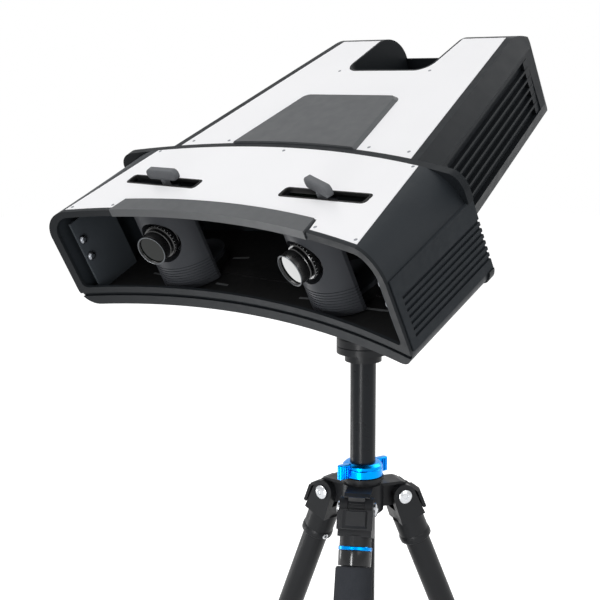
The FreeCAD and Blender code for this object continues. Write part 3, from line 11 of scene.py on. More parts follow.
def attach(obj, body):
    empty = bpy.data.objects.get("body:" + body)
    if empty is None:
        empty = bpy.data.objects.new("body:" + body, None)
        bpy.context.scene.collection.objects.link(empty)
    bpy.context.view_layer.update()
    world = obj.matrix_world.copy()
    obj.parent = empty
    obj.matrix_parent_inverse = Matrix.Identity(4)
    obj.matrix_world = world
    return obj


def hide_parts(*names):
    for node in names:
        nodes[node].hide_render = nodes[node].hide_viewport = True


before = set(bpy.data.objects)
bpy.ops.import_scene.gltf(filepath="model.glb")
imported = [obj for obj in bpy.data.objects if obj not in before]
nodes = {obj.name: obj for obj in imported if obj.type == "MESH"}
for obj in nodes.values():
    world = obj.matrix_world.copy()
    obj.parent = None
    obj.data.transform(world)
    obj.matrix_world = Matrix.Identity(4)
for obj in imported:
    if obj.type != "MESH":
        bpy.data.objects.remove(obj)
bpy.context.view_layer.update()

MM = 0.001


# ---------------------------------------------------------------------------------------------------------------
# Front casing: two deep half shells with a thin rim round the mouth and a flange behind. Real ones are injection
# moulded in dark grey ABS from spark-eroded tools, which leaves an even fine grain and a soft satin look.

def linear(code):
    """An sRGB hex colour as linear red, green, blue and alpha: each channel c is ((c + 0.055) / 1.055) ** 2.4."""
    channels = [int(code[k:k + 2], 16) / 255 for k in (1, 3, 5)]
    return [c / 12.92 if c < 0.04045 else ((c + 0.055) / 1.055) ** 2.4 for c in channels] + [1.0]


def add_node(tree, kind, settings=None, inputs=None):
    """Adds a shader node, gives it its settings, and sets or links each input by its name or number."""
    node = tree.nodes.new("ShaderNode" + kind)
    for name, value in (settings or {}).items():
        setattr(node, name, value)
    for name, value in (inputs or {}).items():
        if isinstance(value, bpy.types.NodeSocket):
            tree.links.new(value, node.inputs[name])
        else:
            node.inputs[name].default_value = value
    return node


def open_material(name):
    """A new material with an empty tree, and its output."""
    material = bpy.data.materials.new(name)
    material.use_nodes = True
    tree = material.node_tree
    tree.nodes.clear()
    output = add_node(tree, "OutputMaterial")
    return material, tree, output


def finish(name, dark, light, patch, grain, grain_depth, rough, fixed=None, painted_shade_colour=None):
    """An opaque finish: its colour drifts from dark to light over soft patches of that size, its roughness drifts
    between the two rough values over patches a fifth as wide, and grain is a bump of that width and depth. The last
    colour, when given, is painted shade: it is laid over the faces that look into the front casing, where the bay
    lies in shade."""
    material, tree, output = open_material(name)
    place = add_node(tree, "TexCoord").outputs["Object"]
    drift = add_node(tree, "TexNoise", inputs={"Vector": place, "Scale": 1 / patch, "Detail": 2.0})
    shade = add_node(tree, "MixRGB", inputs={0: drift.outputs["Fac"], 1: linear(dark), 2: linear(light)})
    # Painted shade: the faces looking into the front casing take the near-black shade colour.
    if painted_shade_colour:
        painted_shade_mask = casing_shade_mask(tree, place)
        shade = add_node(tree, "MixRGB", inputs={0: painted_shade_mask, 1: shade.outputs["Color"], 2: linear(painted_shade_colour)})
    handled = add_node(tree, "TexNoise", inputs={"Vector": place, "Scale": 5 / patch, "Detail": 3.0})
    roughness = add_node(tree, "MapRange", inputs={
        "Value": handled.outputs["Fac"], "From Min": 0.3, "From Max": 0.7, "To Min": rough[0], "To Max": rough[1]})
    speck = add_node(tree, "TexNoise", inputs={"Vector": place, "Scale": 1 / grain, "Detail": 1.0})
    relief = add_node(tree, "Bump", inputs={
        "Height": speck.outputs["Fac"], "Strength": 1.0, "Distance": grain_depth})
    shader = add_node(tree, "BsdfPrincipled", inputs={
        "Base Color": shade.outputs["Color"], "Roughness": roughness.outputs["Result"],
        "Normal": relief.outputs["Normal"], **(fixed or {})})
    tree.links.new(shader.outputs["BSDF"], output.inputs["Surface"])
    return material


def casing_shade_mask(tree, place):
    """The mask of the painted shade in the front casing: 1 on the faces that look in at its middle,
    n . (p - middle) < 0, and 0 on its outside. It fades out towards the two ends, which keep the colour of the
    plastic."""
    normal = add_node(tree, "TexCoord").outputs["Normal"]
    middle = scanner_frame @ Vector((0, 60 * MM, -55 * MM))
    fade_from, fade_to = 200 * MM, 216 * MM
    arm = add_node(tree, "VectorMath", {"operation": "SUBTRACT"}, {0: place, 1: middle})
    facing = add_node(tree, "VectorMath", {"operation": "DOT_PRODUCT"}, {0: arm.outputs["Vector"], 1: normal})
    inward = add_node(tree, "Math", {"operation": "LESS_THAN"}, {0: facing.outputs["Value"], 1: 0.0})
    across = add_node(tree, "SeparateXYZ", inputs={"Vector": place})
    aside = add_node(tree, "Math", {"operation": "ABSOLUTE"}, {0: across.outputs["X"]})
    fade = add_node(tree, "MapRange", inputs={
        "Value": aside.outputs[0], "From Min": fade_from, "From Max": fade_to, "To Min": 1.0, "To Max": 0.0})
    return add_node(tree, "Math", {"operation": "MULTIPLY"}, {0: inward.outputs[0], 1: fade.outputs[0]}).outputs[0]


def dress(material, *names):
    """Gives CAD nodes one material."""
    for name in names:
        mesh = nodes[name].data
        mesh.materials.clear()
        mesh.materials.append(material)


# The scanner's own frame: X to the right as seen from its front, like left and right in the names, Y to its back, Z
# up through its lid, and the origin over the rim's middle.
scanner_frame = Matrix.Translation((0.0, -0.219396, 0.751591)) @ Matrix.Rotation(math.radians(27.88), 4, "X")

# Moulded ABS, spark-eroded grain: satin, with a broad soft highlight. The grain is drawn about twice as coarse as
# the real 0.5 mm so that it shows. The faces that look into the casing's mouth get painted shade, coloured near
# black.
casing_plastic = finish("moulded_abs_dark_grey_painted_shade_inside", "#22262a", "#292d31", 60 * MM, 1.0 * MM, 0.035 * MM, (0.42, 0.52),
                        {"Specular IOR Level": 0.14}, painted_shade_colour="#060607")
dress(casing_plastic, "front_shell_upper", "front_shell_lower")
rim_plastic = finish("moulded_abs_rim_grey", "#1b1e21", "#212427", 60 * MM, 1.0 * MM, 0.03 * MM, (0.38, 0.48),
                     {"Specular IOR Level": 0.08})
dress(rim_plastic, "front_rim", "rear_flange", "rear_cover", "rear_pan", "louvre_grilles", "handle_recess")

# Brow strip and raised cover: the same ABS a shade lighter.
cover_plastic = finish(
    "moulded_abs_mid_grey", "#4c4e50", "#535557", 60 * MM, 1.0 * MM, 0.03 * MM, (0.42, 0.52),
    {"Specular IOR Level": 0.25})
dress(cover_plastic, "brow_strip", "raised_cover")


# ---------------------------------------------------------------------------------------------------------------
# White panels: thin polycarbonate sheets let flush into the casing, lacquered white on their faces, each held near
# its corners by small screws with low domed heads.

def make_piece(name, body, material, at, grids, crease=30.0):
    """One piece from grids of points, each rows by columns by 3 in mm and closed round its columns. The frame at
    sets them in the world. Points that meet become one, and faces are turned outward."""
    points, faces, first = [], [], 0
    for grid in grids:
        rows, columns = grid.shape[:2]
        row, column = np.meshgrid(np.arange(rows - 1), np.arange(columns), indexing="ij")
        near = row * columns + first
        far = near + columns
        after = (column + 1) % columns
        faces.append(np.stack([near + column, near + after, far + after, far + column], -1).reshape(-1, 4))
        points.append(grid.reshape(-1, 3))
        first += rows * columns
    points = np.concatenate(points) * MM @ np.array(at.to_3x3()).T + np.array(at.translation)
    mesh = bpy.data.meshes.new(name)
    mesh.from_pydata(points.tolist(), [], np.concatenate(faces).tolist())
    weld = 0.003 * MM
    work = bmesh.new()
    work.from_mesh(mesh)
    bmesh.ops.remove_doubles(work, verts=work.verts, dist=weld)
    bmesh.ops.dissolve_degenerate(work, dist=weld, edges=work.edges)
    bmesh.ops.recalc_face_normals(work, faces=work.faces)
    work.to_mesh(mesh)
    work.free()
    mesh.shade_smooth()
    mesh.set_sharp_from_angle(angle=math.radians(crease))
    mesh.materials.append(material)
    piece = bpy.data.objects.new(name, mesh)
    bpy.context.scene.collection.objects.link(piece)
    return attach(piece, body)


def moved(grid, across=0.0, along=0.0, up=0.0, turn=None):
    """A grid turned by a matrix and then moved, in mm."""
    turned_grid = grid @ np.array(turn.to_3x3()).T if turn else grid
    return turned_grid + np.array([across, along, up])


def spun(angle, axis):
    """A turn by that many degrees about one axis."""
    return Matrix.Rotation(math.radians(angle), 4, axis)


def screw_head(radius, rise, socket, deep, steps=48):
    """A screw's head on z = 0: rows go up its rim, over the dome z = rise * sqrt(1 - 0.75 (r / radius) ** 2), down
    the six flat walls of the socket, of that half width, and to its middle."""
    angle = np.arange(steps) * 2 * math.pi / steps
    six = socket / np.cos((angle + math.pi / 6) % (math.pi / 3) - math.pi / 6)
    dome = [(radius * part, rise * math.sqrt(1 - 0.75 * part ** 2)) for part in np.linspace(1.0, 0.55, 7)]
    rings = [(0 * angle, 0.0), (radius + 0 * angle, 0.0)] + [(r + 0 * angle, z) for r, z in dome]
    brim = rise * math.sqrt(1 - 0.75 * 0.3)
    rings += [(six * 1.06, brim), (six, brim - 0.06 * radius), (six * 0.98, rise - deep), (0 * angle, rise - deep)]
    return np.stack([np.stack([r * np.cos(angle), r * np.sin(angle), z + 0 * angle], -1) for r, z in rings])


panel_lacquer = finish(
    "lacquered_polycarbonate_white", "#ececee", "#f2f2f4", 120 * MM, 2.0 * MM, 0.005 * MM, (0.30, 0.36))
dress(panel_lacquer, "front_top_panel", "rear_top_panel")

screw_steel = finish("zinc_plated_steel", "#8f9296", "#a2a5a9", 8 * MM, 0.3 * MM, 0.002 * MM, (0.28, 0.38),
                     {"Metallic": 1.0})
front_face, rear_face = 0.02, -2.38
front_screws = [(0.0, 134.2)] + [(side * across, back) for side in (-1, 1)
                                 for across, back in ((172.5, 119.8), (139.5, 16.5), (194.1, 5.5))]
rear_screws = [(side * across, back) for side in (-1, 1)
               for across, back in ((96.0, 151.6), (147.0, 147.5), (62.0, 303.4))]
make_piece("panel_screws", "scanner", screw_steel, scanner_frame, [
    moved(screw_head(1.7, 0.35, 0.75, 0.32), across, back, height)
    for places, height in ((front_screws, front_face), (rear_screws, rear_face)) for across, back in places])


# ---------------------------------------------------------------------------------------------------------------
# Side grips: ribbed rubber pads, set into pockets in the two ends of the casing. They are dull and keep the hands
# from slipping when the head is lifted.

grip_rubber = finish(
    "moulded_rubber_black", "#1f2327", "#262a2e", 40 * MM, 0.8 * MM, 0.05 * MM, (0.55, 0.68),
    {"Specular IOR Level": 0.14})
dress(grip_rubber, "side_grips")


# ---------------------------------------------------------------------------------------------------------------
# Camera bay: a black tray with travel marks, end brackets with button-head bolts, carriages, and the two turrets in
# darker ABS. Locking levers go down to the turrets through the lid, in slots that have a black bezel.

def rounded_plan(half_long, half_wide, radius, around):
    """The outline of a rectangle whose four corners are quarter circles, as points in x and y."""
    corners = []
    for quarter, (sign_x, sign_y) in enumerate([(1, 1), (-1, 1), (-1, -1), (1, -1)]):
        turn = np.linspace(0, math.pi / 2, around) + quarter * math.pi / 2
        corners.append(np.stack([sign_x * (half_long - radius) + radius * np.cos(turn),
                                 sign_y * (half_wide - radius) + radius * np.sin(turn)], -1))
    return np.concatenate(corners)


def rounded_bar(long, wide, tall, corner, edge, around=5):
    """A bar along X on z = 0. Rows climb from the middle of its foot, round a plan with corners of radius corner,
    over a top edge eased by a quarter circle of radius edge, to the middle of its top."""
    def plan(inset):
        return rounded_plan(long / 2 - inset, wide / 2 - inset, max(corner - inset, 0.02), around)
    rings = [(plan(0) * 0, 0.0), (plan(0), 0.0)]
    rings += [(plan(edge * (1 - math.cos(t))), tall - edge + edge * math.sin(t))
              for t in np.linspace(0, math.pi / 2, 5)]
    rings += [(plan(0) * 0, tall)]
    return np.stack([np.concatenate([flat, np.full((len(flat), 1), z)], -1) for flat, z in rings])


def turned(profile, steps=96, wave=None):
    """A surface turned about Z through (radius, height) stops. wave(angle) is added to the radius of each stop that
    carries a third number, times that number."""
    angle = np.arange(steps) * 2 * math.pi / steps
    rows = []
    for stop in profile:
        radius = stop[0] + (stop[2] * wave(angle) if len(stop) > 2 else 0 * angle)
        rows.append(np.stack([radius * np.cos(angle), radius * np.sin(angle), stop[1] + 0 * angle], -1))
    return np.stack(rows)


bay_black = finish("matt_paint_black", "#080809", "#0e0e0f", 50 * MM, 0.7 * MM, 0.03 * MM, (0.6, 0.75),
                   {"Specular IOR Level": 0.25})
dress(bay_black, "camera_tray", "camera_carriage_left", "camera_carriage_right", "projector_body",
      "fan_frame", "fan_rotor", "mounting_plate", "rear_sockets", "power_switch")
bracket_paint = finish("powder_coated_bracket", "#3a3f44", "#42474c", 50 * MM, 0.7 * MM, 0.04 * MM, (0.5, 0.62),
                       {"Specular IOR Level": 0.2})
dress(bracket_paint, "end_brackets")
turret_plastic = finish(
    "moulded_abs_charcoal", "#35373b", "#3e4044", 50 * MM, 0.9 * MM, 0.035 * MM, (0.40, 0.50),
    {"Specular IOR Level": 0.14})
dress(turret_plastic, "camera_turret_left", "camera_turret_right")

# The pivot of a turret and its lever at rest, and the slot in the lid that it slides along, in mm.
pivot_across, pivot_back = 107.0, 64.9
slot_across, slot_half_long, slot_half_wide = 110.5, 50.5, 6.5

# Locking levers: a flat tab with rounded corners on a round stem, which stands in the panel's slot.
lever_plastic = finish("moulded_nylon_grey", "#56585b", "#626467", 50 * MM, 0.8 * MM, 0.03 * MM, (0.42, 0.52),
                       {"Specular IOR Level": 0.2})
for side, name, turn in ((-1, "left", 0.0), (1, "right", -21.0)):
    tab = moved(rounded_bar(44.0, 11.4, 6.6, 5.0, 1.6, 8), up=-3.3)
    tab = moved(moved(tab, turn=spun(90, "X")), up=8.8)
    stem = turned([(0, -11.0), (4, -11.0), (4, 3.4), (3.6, 4.0), (0, 4.0)], 48)
    at = scanner_frame @ Matrix.Translation((side * pivot_across * MM, pivot_back * MM, 0)) @ spun(turn, "Z")
    lever = make_piece(f"lever_tab_{name}", f"lever_{name}", lever_plastic, at, [tab, stem])
    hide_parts(f"slide_lever_{name}")

# Black bezels round the two lever slots, a thin raised edge on the white panel.
for side, name in ((-1, "left"), (1, "right")):
    rings = []
    for gap, up in ((-0.3, -2.8), (-0.3, 0.25), (0.0, 0.4), (1.3, 0.4), (1.6, 0.1), (1.6, -0.6), (-0.05, -0.6),
                    (-0.05, -2.8), (-0.3, -2.8)):
        flat = rounded_plan(slot_half_long + 1.9 * gap, slot_half_wide + gap, slot_half_wide / 2 + gap, 8)
        rings.append(np.concatenate([flat, np.full((len(flat), 1), up)], -1))
    make_piece(f"slot_bezel_{name}", "scanner", bay_black, scanner_frame, [
        moved(np.stack(rings), side * slot_across, pivot_back, 0)])

# Travel marks: flat strokes of paint, each with its place across and back, its length and its turn.
tray_top = -104.0
travel_marks = [(-70.0, 87.0, 21.0, 12.0), (-67.0, 63.0, 9.0, 0.0), (-56.0, 41.5, 18.0, 0.0),
                (63.0, 41.0, 19.0, 5.0), (148.0, 41.2, 31.0, 3.0), (-148.0, 41.2, 31.0, -3.0),
                (67.0, 63.0, 9.0, 0.0), (70.0, 87.0, 21.0, -12.0)]
mark_grey = finish("worn_edge_grey", "#5c5e60", "#6a6c6e", 10 * MM, 0.5 * MM, 0.02 * MM, (0.45, 0.6))
make_piece("travel_marks", "scanner", mark_grey, scanner_frame, [
    moved(rounded_bar(long, 2.8, 0.04, 0.9, 0.02), across, back, tray_top, spun(turn, "Z"))
    for across, back, long, turn in travel_marks])

bolt_steel = finish("black_oxide_steel_worn", "#7a7d82", "#8e9196", 6 * MM, 0.3 * MM, 0.003 * MM, (0.22, 0.32),
                    {"Metallic": 1.0})
make_piece("bracket_bolt_heads", "scanner", bolt_steel, scanner_frame, [
    moved(screw_head(4.7, 4.6, 1.9, 2.0), side * 207.0, 7.0, -drop, spun(-90 * side, "Y"))
    for side in (-1, 1) for drop in (42.0, 63.0)])


# ---------------------------------------------------------------------------------------------------------------
# Camera lenses: turned aluminium barrels, black anodised. Each has a fluted iris ring, a knurled focus ring with
# white index ticks, and a front ring whose bright edge holds a flat coated glass.

def lens_frame(side):
    """The frame of one camera's lens: Z runs forward along its axis, from over the turret's pivot."""
    toe_in, drop = 10.7, 45.0
    pivot = scanner_frame @ Matrix.Translation((side * pivot_across * MM, pivot_back * MM, 0))
    return pivot @ spun(-toe_in * side, "Z") @ Matrix.Translation((0, 0, -drop * MM)) @ spun(90, "X")


lens_black = finish("anodised_aluminium_black", "#0d0d0e", "#141415", 20 * MM, 0.4 * MM, 0.008 * MM, (0.25, 0.34),
                    {"Specular IOR Level": 0.7})
dress(lens_black, "camera_left", "camera_right", "iris_ring_left", "iris_ring_right", "focus_ring_left",
      "focus_ring_right", "filter_ring_left", "filter_ring_right", "projector_lens")
bare_edge = finish("diamond_turned_aluminium", "#4e5154", "#5c5f62", 8 * MM, 0.2 * MM, 0.002 * MM, (0.16, 0.24),
                   {"Metallic": 1.0})
index_paint = finish("engraving_paint_white", "#c9cbcd", "#d6d8da", 5 * MM, 0.3 * MM, 0.002 * MM, (0.5, 0.6))
lens_glass = finish("coated_glass_dark", "#0b100d", "#0e1410", 30 * MM, 1.0 * MM, 0.0 * MM, (0.02, 0.03),
                    {"Specular IOR Level": 0.25})
dress(lens_glass, "projector_window")

bore, focus_out = 12.1, 18.27
thread_crest, thread_deep, thread_top, thread_step = 14.75, 0.22, 58.3, 0.45
for side, name in ((-1, "left"), (1, "right")):
    at = lens_frame(side)
    flutes = [(bore, 27.2), (15.6, 27.2), (16.6, 27.7), (16.9, 28.4, 1), (16.9, 31.6, 1), (16.6, 32.4), (15.6, 32.8),
              (bore, 32.8), (bore, 27.2)]
    iris = make_piece(f"iris_ring_fluted_{name}", f"iris_{name}", lens_black, at, [
        turned(flutes, 144, lambda angle: 0.45 * np.cos(24 * angle))])
    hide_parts(f"iris_ring_{name}")
    knurls = [(bore, 33.6), (17.2, 33.6), (18.0, 34.2), (18.0, 35.2), (17.6, 35.6), (17.9, 35.9, 1), (17.9, 40.4, 1),
              (17.6, 40.7), (18.3, 41.2), (18.3, 43.4), (17.6, 44.2), (bore, 44.2), (bore, 33.6)]
    focus = make_piece(f"focus_ring_knurled_{name}", f"focus_{name}", lens_black, at, [
        turned(knurls, 288, lambda angle: 0.32 * np.cos(72 * angle))])
    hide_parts(f"focus_ring_{name}")
    thread = [(thread_crest + thread_deep * (k % 2), thread_top - thread_step * k) for k in range(11)]
    barrel = [(bore, 45.0), (15.2, 45.0), (16.0, 45.4), (16.0, 47.0), (15.4, 47.6), (15.4, 49.0), (16.1, 49.6),
              (16.1, 57.6), (15.9, 58.0), (15.2, 58.5)] + thread + [(14.5, 53.0), (bore, 52.2), (bore, 45.0)]
    front = make_piece(f"front_ring_{name}", f"focus_{name}", lens_black, at, [turned(barrel, 128)])
    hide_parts(f"filter_ring_{name}")
    make_piece(f"front_edge_{name}", f"focus_{name}", bare_edge, at, [turned([
        (15.0, 58.2), (16.2, 57.7), (16.35, 58.2), (16.2, 58.8), (15.6, 59.0), (15.1, 58.8), (15.0, 58.2)], 128)])
    make_piece(f"front_glass_{name}", f"focus_{name}", lens_glass, at, [
        turned([(0.0, 53.2), (14.4, 53.2), (14.4, 56.2), (14.1, 56.5), (0.0, 56.52)], 128)])
    ticks = [moved(rounded_bar(1.5, 0.45, 0.12, 0.15, 0.05, 3), focus_out * math.cos(a), focus_out * math.sin(a),
                   42.3, spun(math.degrees(a), "Z") @ spun(90, "Y"))
             for a in np.radians(np.arange(0, 360, 12))]
    make_piece(f"focus_ticks_{name}", f"focus_{name}", index_paint, at, ticks)
    make_piece(f"mount_edge_{name}", f"turret_{name}", bare_edge, at, [
        turned([(22.6, 23.1), (23.4, 22.9), (24.0, 23.5), (23.6, 24.1), (22.8, 24.0), (22.6, 23.1)], 128)])


# ---------------------------------------------------------------------------------------------------------------
# Boards and inlet: glass-fibre laminate under a green solder mask, on posts inside the rear body. The power inlet
# in the back wall has three flat plated pins.

board_green = finish("solder_mask_green", "#145f3c", "#1a6a44", 20 * MM, 0.8 * MM, 0.02 * MM, (0.35, 0.45))
dress(board_green, "circuit_boards")
make_piece("inlet_pins", "scanner", screw_steel, scanner_frame, [
    moved(rounded_bar(4.0, 1.8, 8.0, 0.5, 0.6), -34.0 + across, 394.0, -95.0 + up, spun(-90, "X") @ spun(90, "Z"))
    for across, up in ((-5.5, -1.5), (0.0, 2.5), (5.5, -1.5))])


# ---------------------------------------------------------------------------------------------------------------
# Tripod: drawn aluminium tubes and die castings, both black, with blue anodised trim and plated pivot bolts. The
# tubes are anodised smooth, and the castings are powder coated with a fine grain.

tube_black = finish("anodised_aluminium_satin_black", "#15171a", "#1a1c1f", 80 * MM, 0.5 * MM, 0.003 * MM,
                    (0.26, 0.34), {"Specular IOR Level": 0.13})
dress(tube_black, "column", "lower_leg_1", "lower_leg_2", "lower_leg_3")
casting_paint = finish("powder_coated_casting", "#191a1c", "#1f2022", 40 * MM, 0.9 * MM, 0.04 * MM, (0.34, 0.44),
                       {"Specular IOR Level": 0.16})
dress(casting_paint, "spider", "leg_1", "leg_2", "leg_3", "pan_body", "pan_knob", "tilt_knob", "tilt_cradle",
      "angle_tab_1", "angle_tab_2", "angle_tab_3", "twist_lock_1", "twist_lock_2", "twist_lock_3", "head_base")
blue_metal = finish("anodised_aluminium_blue", "#0086dc", "#0098ee", 30 * MM, 0.4 * MM, 0.006 * MM, (0.22, 0.3),
                    {"Metallic": 1.0})
dress(blue_metal, "lock_collar")
bolt_plating = finish("nickel_plated_steel", "#bfc1c4", "#cdcfd2", 10 * MM, 0.3 * MM, 0.004 * MM, (0.18, 0.26),
                      {"Metallic": 1.0})

# Clamp collar: a turned ring with a sloped upper edge and a shallow waist, and two finger wings with upright ribs.
spider_frame = Matrix.Translation((0, 20.162 * MM, 429.644 * MM))
ring = [(14.1, 24.9), (21.2, 24.9), (22.1, 25.7), (22.1, 33.2), (21.7, 33.8), (21.3, 34.2), (21.7, 34.6),
        (21.9, 35.0), (21.6, 37.6), (18.6, 40.2), (17.6, 40.5), (14.1, 40.5), (14.1, 24.9)]
wing_reach, wing_half_long, wing_half_wide, wing_swell = 24.6, 8.5, 4.5, 0.16
wings = []
for turn in (78, -102):
    # A wing swells by the cosine of its distance from its middle, and its ribs stand on that swell.
    wing = rounded_bar(2 * wing_half_long, 2 * wing_half_wide, 15.4, 3.6, 1.6, 8)
    wing[..., 1] *= 1 + wing_swell * np.cos(wing[..., 0] * math.pi / wing_half_long)
    wings.append(moved(moved(wing, wing_reach, 0, 24.95), turn=spun(turn, "Z")))
    for reach, aside in ((24.5, 1), (27.0, 1), (29.5, 1), (24.5, -1), (27.0, -1), (29.5, -1)):
        swell = wing_half_wide * (1 + wing_swell * math.cos((reach - wing_reach) * math.pi / wing_half_long))
        rib = moved(rounded_bar(1.2, 1.2, 13.0, 0.5, 0.5), reach, aside * swell, 26.0)
        wings.append(moved(rib, turn=spun(turn, "Z")))
collar = make_piece("collar_with_wings", "collar", blue_metal, spider_frame, [turned(ring, 128)] + wings)
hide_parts("lock_collar")


# Degrees between a leg and the upright column.
leg_splay = 22.3


def leg_frame(index):
    """The frame of one leg: X along its pivot bolt, Z back up the tube, and the tube running down -Z."""
    around, pivot_out = -56.5 + 120 * index, 43
    out = Vector((math.cos(math.radians(around)), math.sin(math.radians(around)), 0)) * pivot_out * MM
    return Matrix.Translation(spider_frame.translation + out) @ spun(around + 90, "Z") @ spun(-leg_splay, "X")


# Pivot bolts: a shank through the ears, with a large domed head and a hexagon socket at each end.
spider_bolts = []
for index in range(3):
    lug_frame = spider_frame.inverted() @ leg_frame(index) @ spun(leg_splay, "X")
    head = moved(screw_head(7.6, 4.2, 2.4, 1.6), up=18.2)
    shank = turned([(0, -18.4), (3.95, -18.4), (3.95, 18.4), (0, 18.4)], 32)
    for form, side in ((head, -1), (head, 1), (shank, 1)):
        own = moved(moved(form, turn=spun(90 * side, "Y")), turn=lug_frame)
        spider_bolts.append(own + np.array(lug_frame.translation) / MM)
bolts = make_piece("pivot_bolts", "spider", bolt_plating, spider_frame, spider_bolts)
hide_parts("leg_bolts")

# Grip lines across the nose of the front lug, between the ears.
nose = []
for up in (-8.0, 18.0, 44.0):
    line = moved(rounded_bar(16.0, 2.0, 1.3, 0.8, 0.7), along=-11.3, turn=spun(90, "X"))
    nose.append(moved(line, turn=spun(-up, "X")))
make_piece("lug_lines", "spider", casting_paint, leg_frame(0) @ spun(leg_splay, "X"), nose)

# On each leg: the ridged rubber sleeve of its twist lock, and on the two plain legs the lower end of the casting.
for index in range(3):
    at = leg_frame(index)
    # Sleeve: 24 rounded ridges, whose height follows the square root of |cos(12 angle)|.
    sleeve = [(18.3, -339.0), (18.9, -339.0), (19.2, -340.0, 1), (19.2, -374.0, 1), (18.9, -375.0), (18.3, -375.0),
              (18.3, -339.0)]
    make_piece(f"lock_sleeve_{index + 1}", f"lock_{index + 1}", grip_rubber, at, [
        turned(sleeve, 240, lambda angle: 0.55 * np.sqrt(np.abs(np.cos(12 * angle))))])
    if index == 0:
        continue
    # Bead at the lower end of the casting, where the tube comes out.
    bead = [(14.3, -60.0), (16.4, -60.0), (17.8, -58.8), (18.0, -56.0), (17.6, -52.0), (17.1, -51.0), (16.8, -51.0),
            (16.8, -58.4), (14.3, -58.6), (14.3, -60.0)]
    make_piece(f"casting_bead_{index + 1}", f"leg_{index + 1}", casting_paint, at, [turned(bead, 96)])
    # Socket screw that pins the casting to the tube, low on its inner flank.
    pin = moved(moved(screw_head(3.4, 1.9, 1.3, 1.0), up=16.8), turn=spun(90, "Y"))
    pin = moved(pin, up=-55.5, turn=spun(72, "Z"))
    make_piece(f"pinch_screw_{index + 1}", f"leg_{index + 1}", bolt_plating, at, [pin])

# Front leg's grip: a closed-cell foam sleeve under a glossy black collar with a blue band.
foam_black = finish("closed_cell_foam_black", "#27292d", "#2f3135", 12 * MM, 1.4 * MM, 0.25 * MM, (0.85, 0.95),
                    {"Specular IOR Level": 0.1})
gloss_black = finish("polished_anodised_black", "#101113", "#151618", 20 * MM, 0.4 * MM, 0.002 * MM, (0.12, 0.18),
                     {"Specular IOR Level": 0.3})
# The foam bulges by 0.25 mm times the sine of the part of its length that has passed.
start, low, tube, full = -61.0, -258.0, 14.3, 19.9
belly = [(tube, start), (17.6, start), (19.2, start - 0.8), (full, start - 2.4)]
belly += [(full + 0.25 * math.sin(math.pi * t), start - 2.4 + t * (low - start + 4.8))
          for t in np.linspace(0.02, 0.98, 40)]
belly += [(full, low + 2.4), (19.2, low + 0.8), (17.6, low), (tube, low), (tube, start)]
foam = make_piece("foam_sleeve", "leg_1", foam_black, leg_frame(0), [turned(belly, 96)])
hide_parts("foam_grip")
make_piece("grip_collar", "leg_1", gloss_black, leg_frame(0), [turned([
    (tube, -44.2), (17.2, -44.2), (17.6, -44.8), (17.6, -59.4), (17.1, -60.4), (tube, -60.4), (tube, -44.2)], 96)])
make_piece("grip_band", "leg_1", blue_metal, leg_frame(0), [turned([
    (tube, -40.0), (17.4, -40.0), (18.0, -40.6), (18.0, -43.4), (17.4, -44.0), (tube, -44.0), (tube, -40.0)], 96)])


# ---------------------------------------------------------------------------------------------------------------
# Studio: plain white all round over a floor of white paper, soft panels of light, and the camera.

def seen_directly(tree):
    """1 for a ray from the camera, a mirror or through glass, and 0 for the rays that light the object."""
    path = add_node(tree, "LightPath")
    either = add_node(tree, "Math", {"operation": "MAXIMUM"}, {
        0: path.outputs["Is Camera Ray"], 1: path.outputs["Is Glossy Ray"]})
    either = add_node(tree, "Math", {"operation": "MAXIMUM"}, {
        0: either.outputs[0], 1: path.outputs["Is Transmission Ray"]})
    return either.outputs[0]


# The surround is white where it is seen, and dimmer where it only lights the object.
world = bpy.data.worlds.new("studio")
bpy.context.scene.world = world
world.use_nodes = True
sky = world.node_tree
sky.nodes.clear()
strength = add_node(sky, "MapRange", inputs={"Value": seen_directly(sky), "To Min": 0.36, "To Max": 1.0})
glow = add_node(sky, "Background", inputs={"Color": (1, 1, 1, 1), "Strength": strength.outputs["Result"]})
add_node(sky, "OutputWorld", inputs={"Surface": glow.outputs["Background"]})

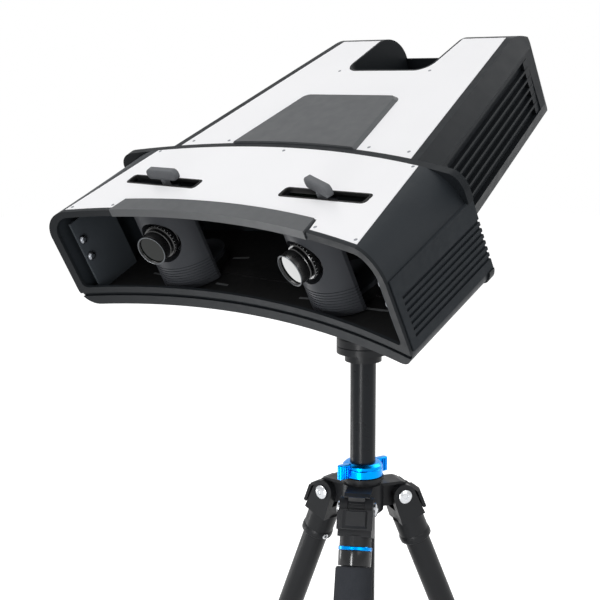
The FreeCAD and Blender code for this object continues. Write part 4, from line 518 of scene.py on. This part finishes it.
# Floor: matt white paper, with a little glow of its own towards the camera so that it meets the white behind it.
floor_paper, paper, paper_output = open_material("matt_paper_white")
card = add_node(paper, "BsdfDiffuse", inputs={"Color": (0.8, 0.8, 0.8, 1), "Roughness": 1.0})
lift = add_node(paper, "Math", {"operation": "MULTIPLY"}, {0: seen_directly(paper), 1: 0.72})
shine = add_node(paper, "Emission", inputs={"Color": (1, 1, 1, 1), "Strength": lift.outputs[0]})
both = add_node(paper, "AddShader", inputs={0: card.outputs[0], 1: shine.outputs[0]})
paper.links.new(both.outputs[0], paper_output.inputs["Surface"])
half_floor = 6.0
corners = [(across * half_floor, along * half_floor, 0.0) for across, along in ((-1, -1), (1, -1), (1, 1), (-1, 1))]
floor_mesh = bpy.data.meshes.new("floor")
floor_mesh.from_pydata(corners, [], [(0, 1, 2, 3)])
floor_mesh.materials.append(floor_paper)
floor = bpy.data.objects.new("floor", floor_mesh)
bpy.context.scene.collection.objects.link(floor)


def soft_panel(name, place, aim, side, watts, tall=None):
    """A square area lamp of that side at place, turned to aim, or a narrow-beamed strip of that height."""
    lamp = bpy.data.lights.new(name, "AREA")
    lamp.size = side
    if tall:
        lamp.shape = "RECTANGLE"
        lamp.size_y = tall
        lamp.spread = math.radians(70)
    lamp.energy = watts
    holder = bpy.data.objects.new(name, lamp)
    holder.location = place
    holder.rotation_euler = (Vector(aim) - Vector(place)).to_track_quat("-Z", "Y").to_euler()
    holder.visible_camera = False
    bpy.context.scene.collection.objects.link(holder)


scanner_middle = (0.0, -0.02, 0.86)
soft_panel("key_panel", (-0.8, -1.5, 2.6), scanner_middle, 1.4, 33.0)
soft_panel("fill_panel", (2.0, -0.4, 1.7), scanner_middle, 1.6, 16.0)
soft_panel("rear_panel", (0.4, 2.0, 2.2), scanner_middle, 1.4, 20.0)
# An upright strip close in front of the tripod, which draws the long highlight on the column and the legs.
soft_panel("strip_panel", (0.30, -0.79, 0.36), (0.0, 0.02, 0.36), 0.12, 0.9, 0.55)
# A small low card that the right-hand lens mirrors towards the camera.
soft_panel("lens_card", (-0.579, -0.203, 0.287), (0.096, -0.19, 0.716), 0.14, 0.42)

# The camera stands to the right of the scanner's front, a little above it, and looks down at about ten degrees.
view = bpy.data.cameras.new("view")
view.sensor_width = 36.0
view.lens = 75.64
view.clip_end = 50.0
camera = bpy.data.objects.new("view", view)
camera.location = (0.87286, -0.98873, 0.88839)
camera.rotation_euler = [math.radians(a) for a in (79.835, 0.208, 43.761)]
bpy.context.scene.collection.objects.link(camera)
bpy.context.scene.camera = camera
bpy.context.scene.view_settings.view_transform = "Standard"
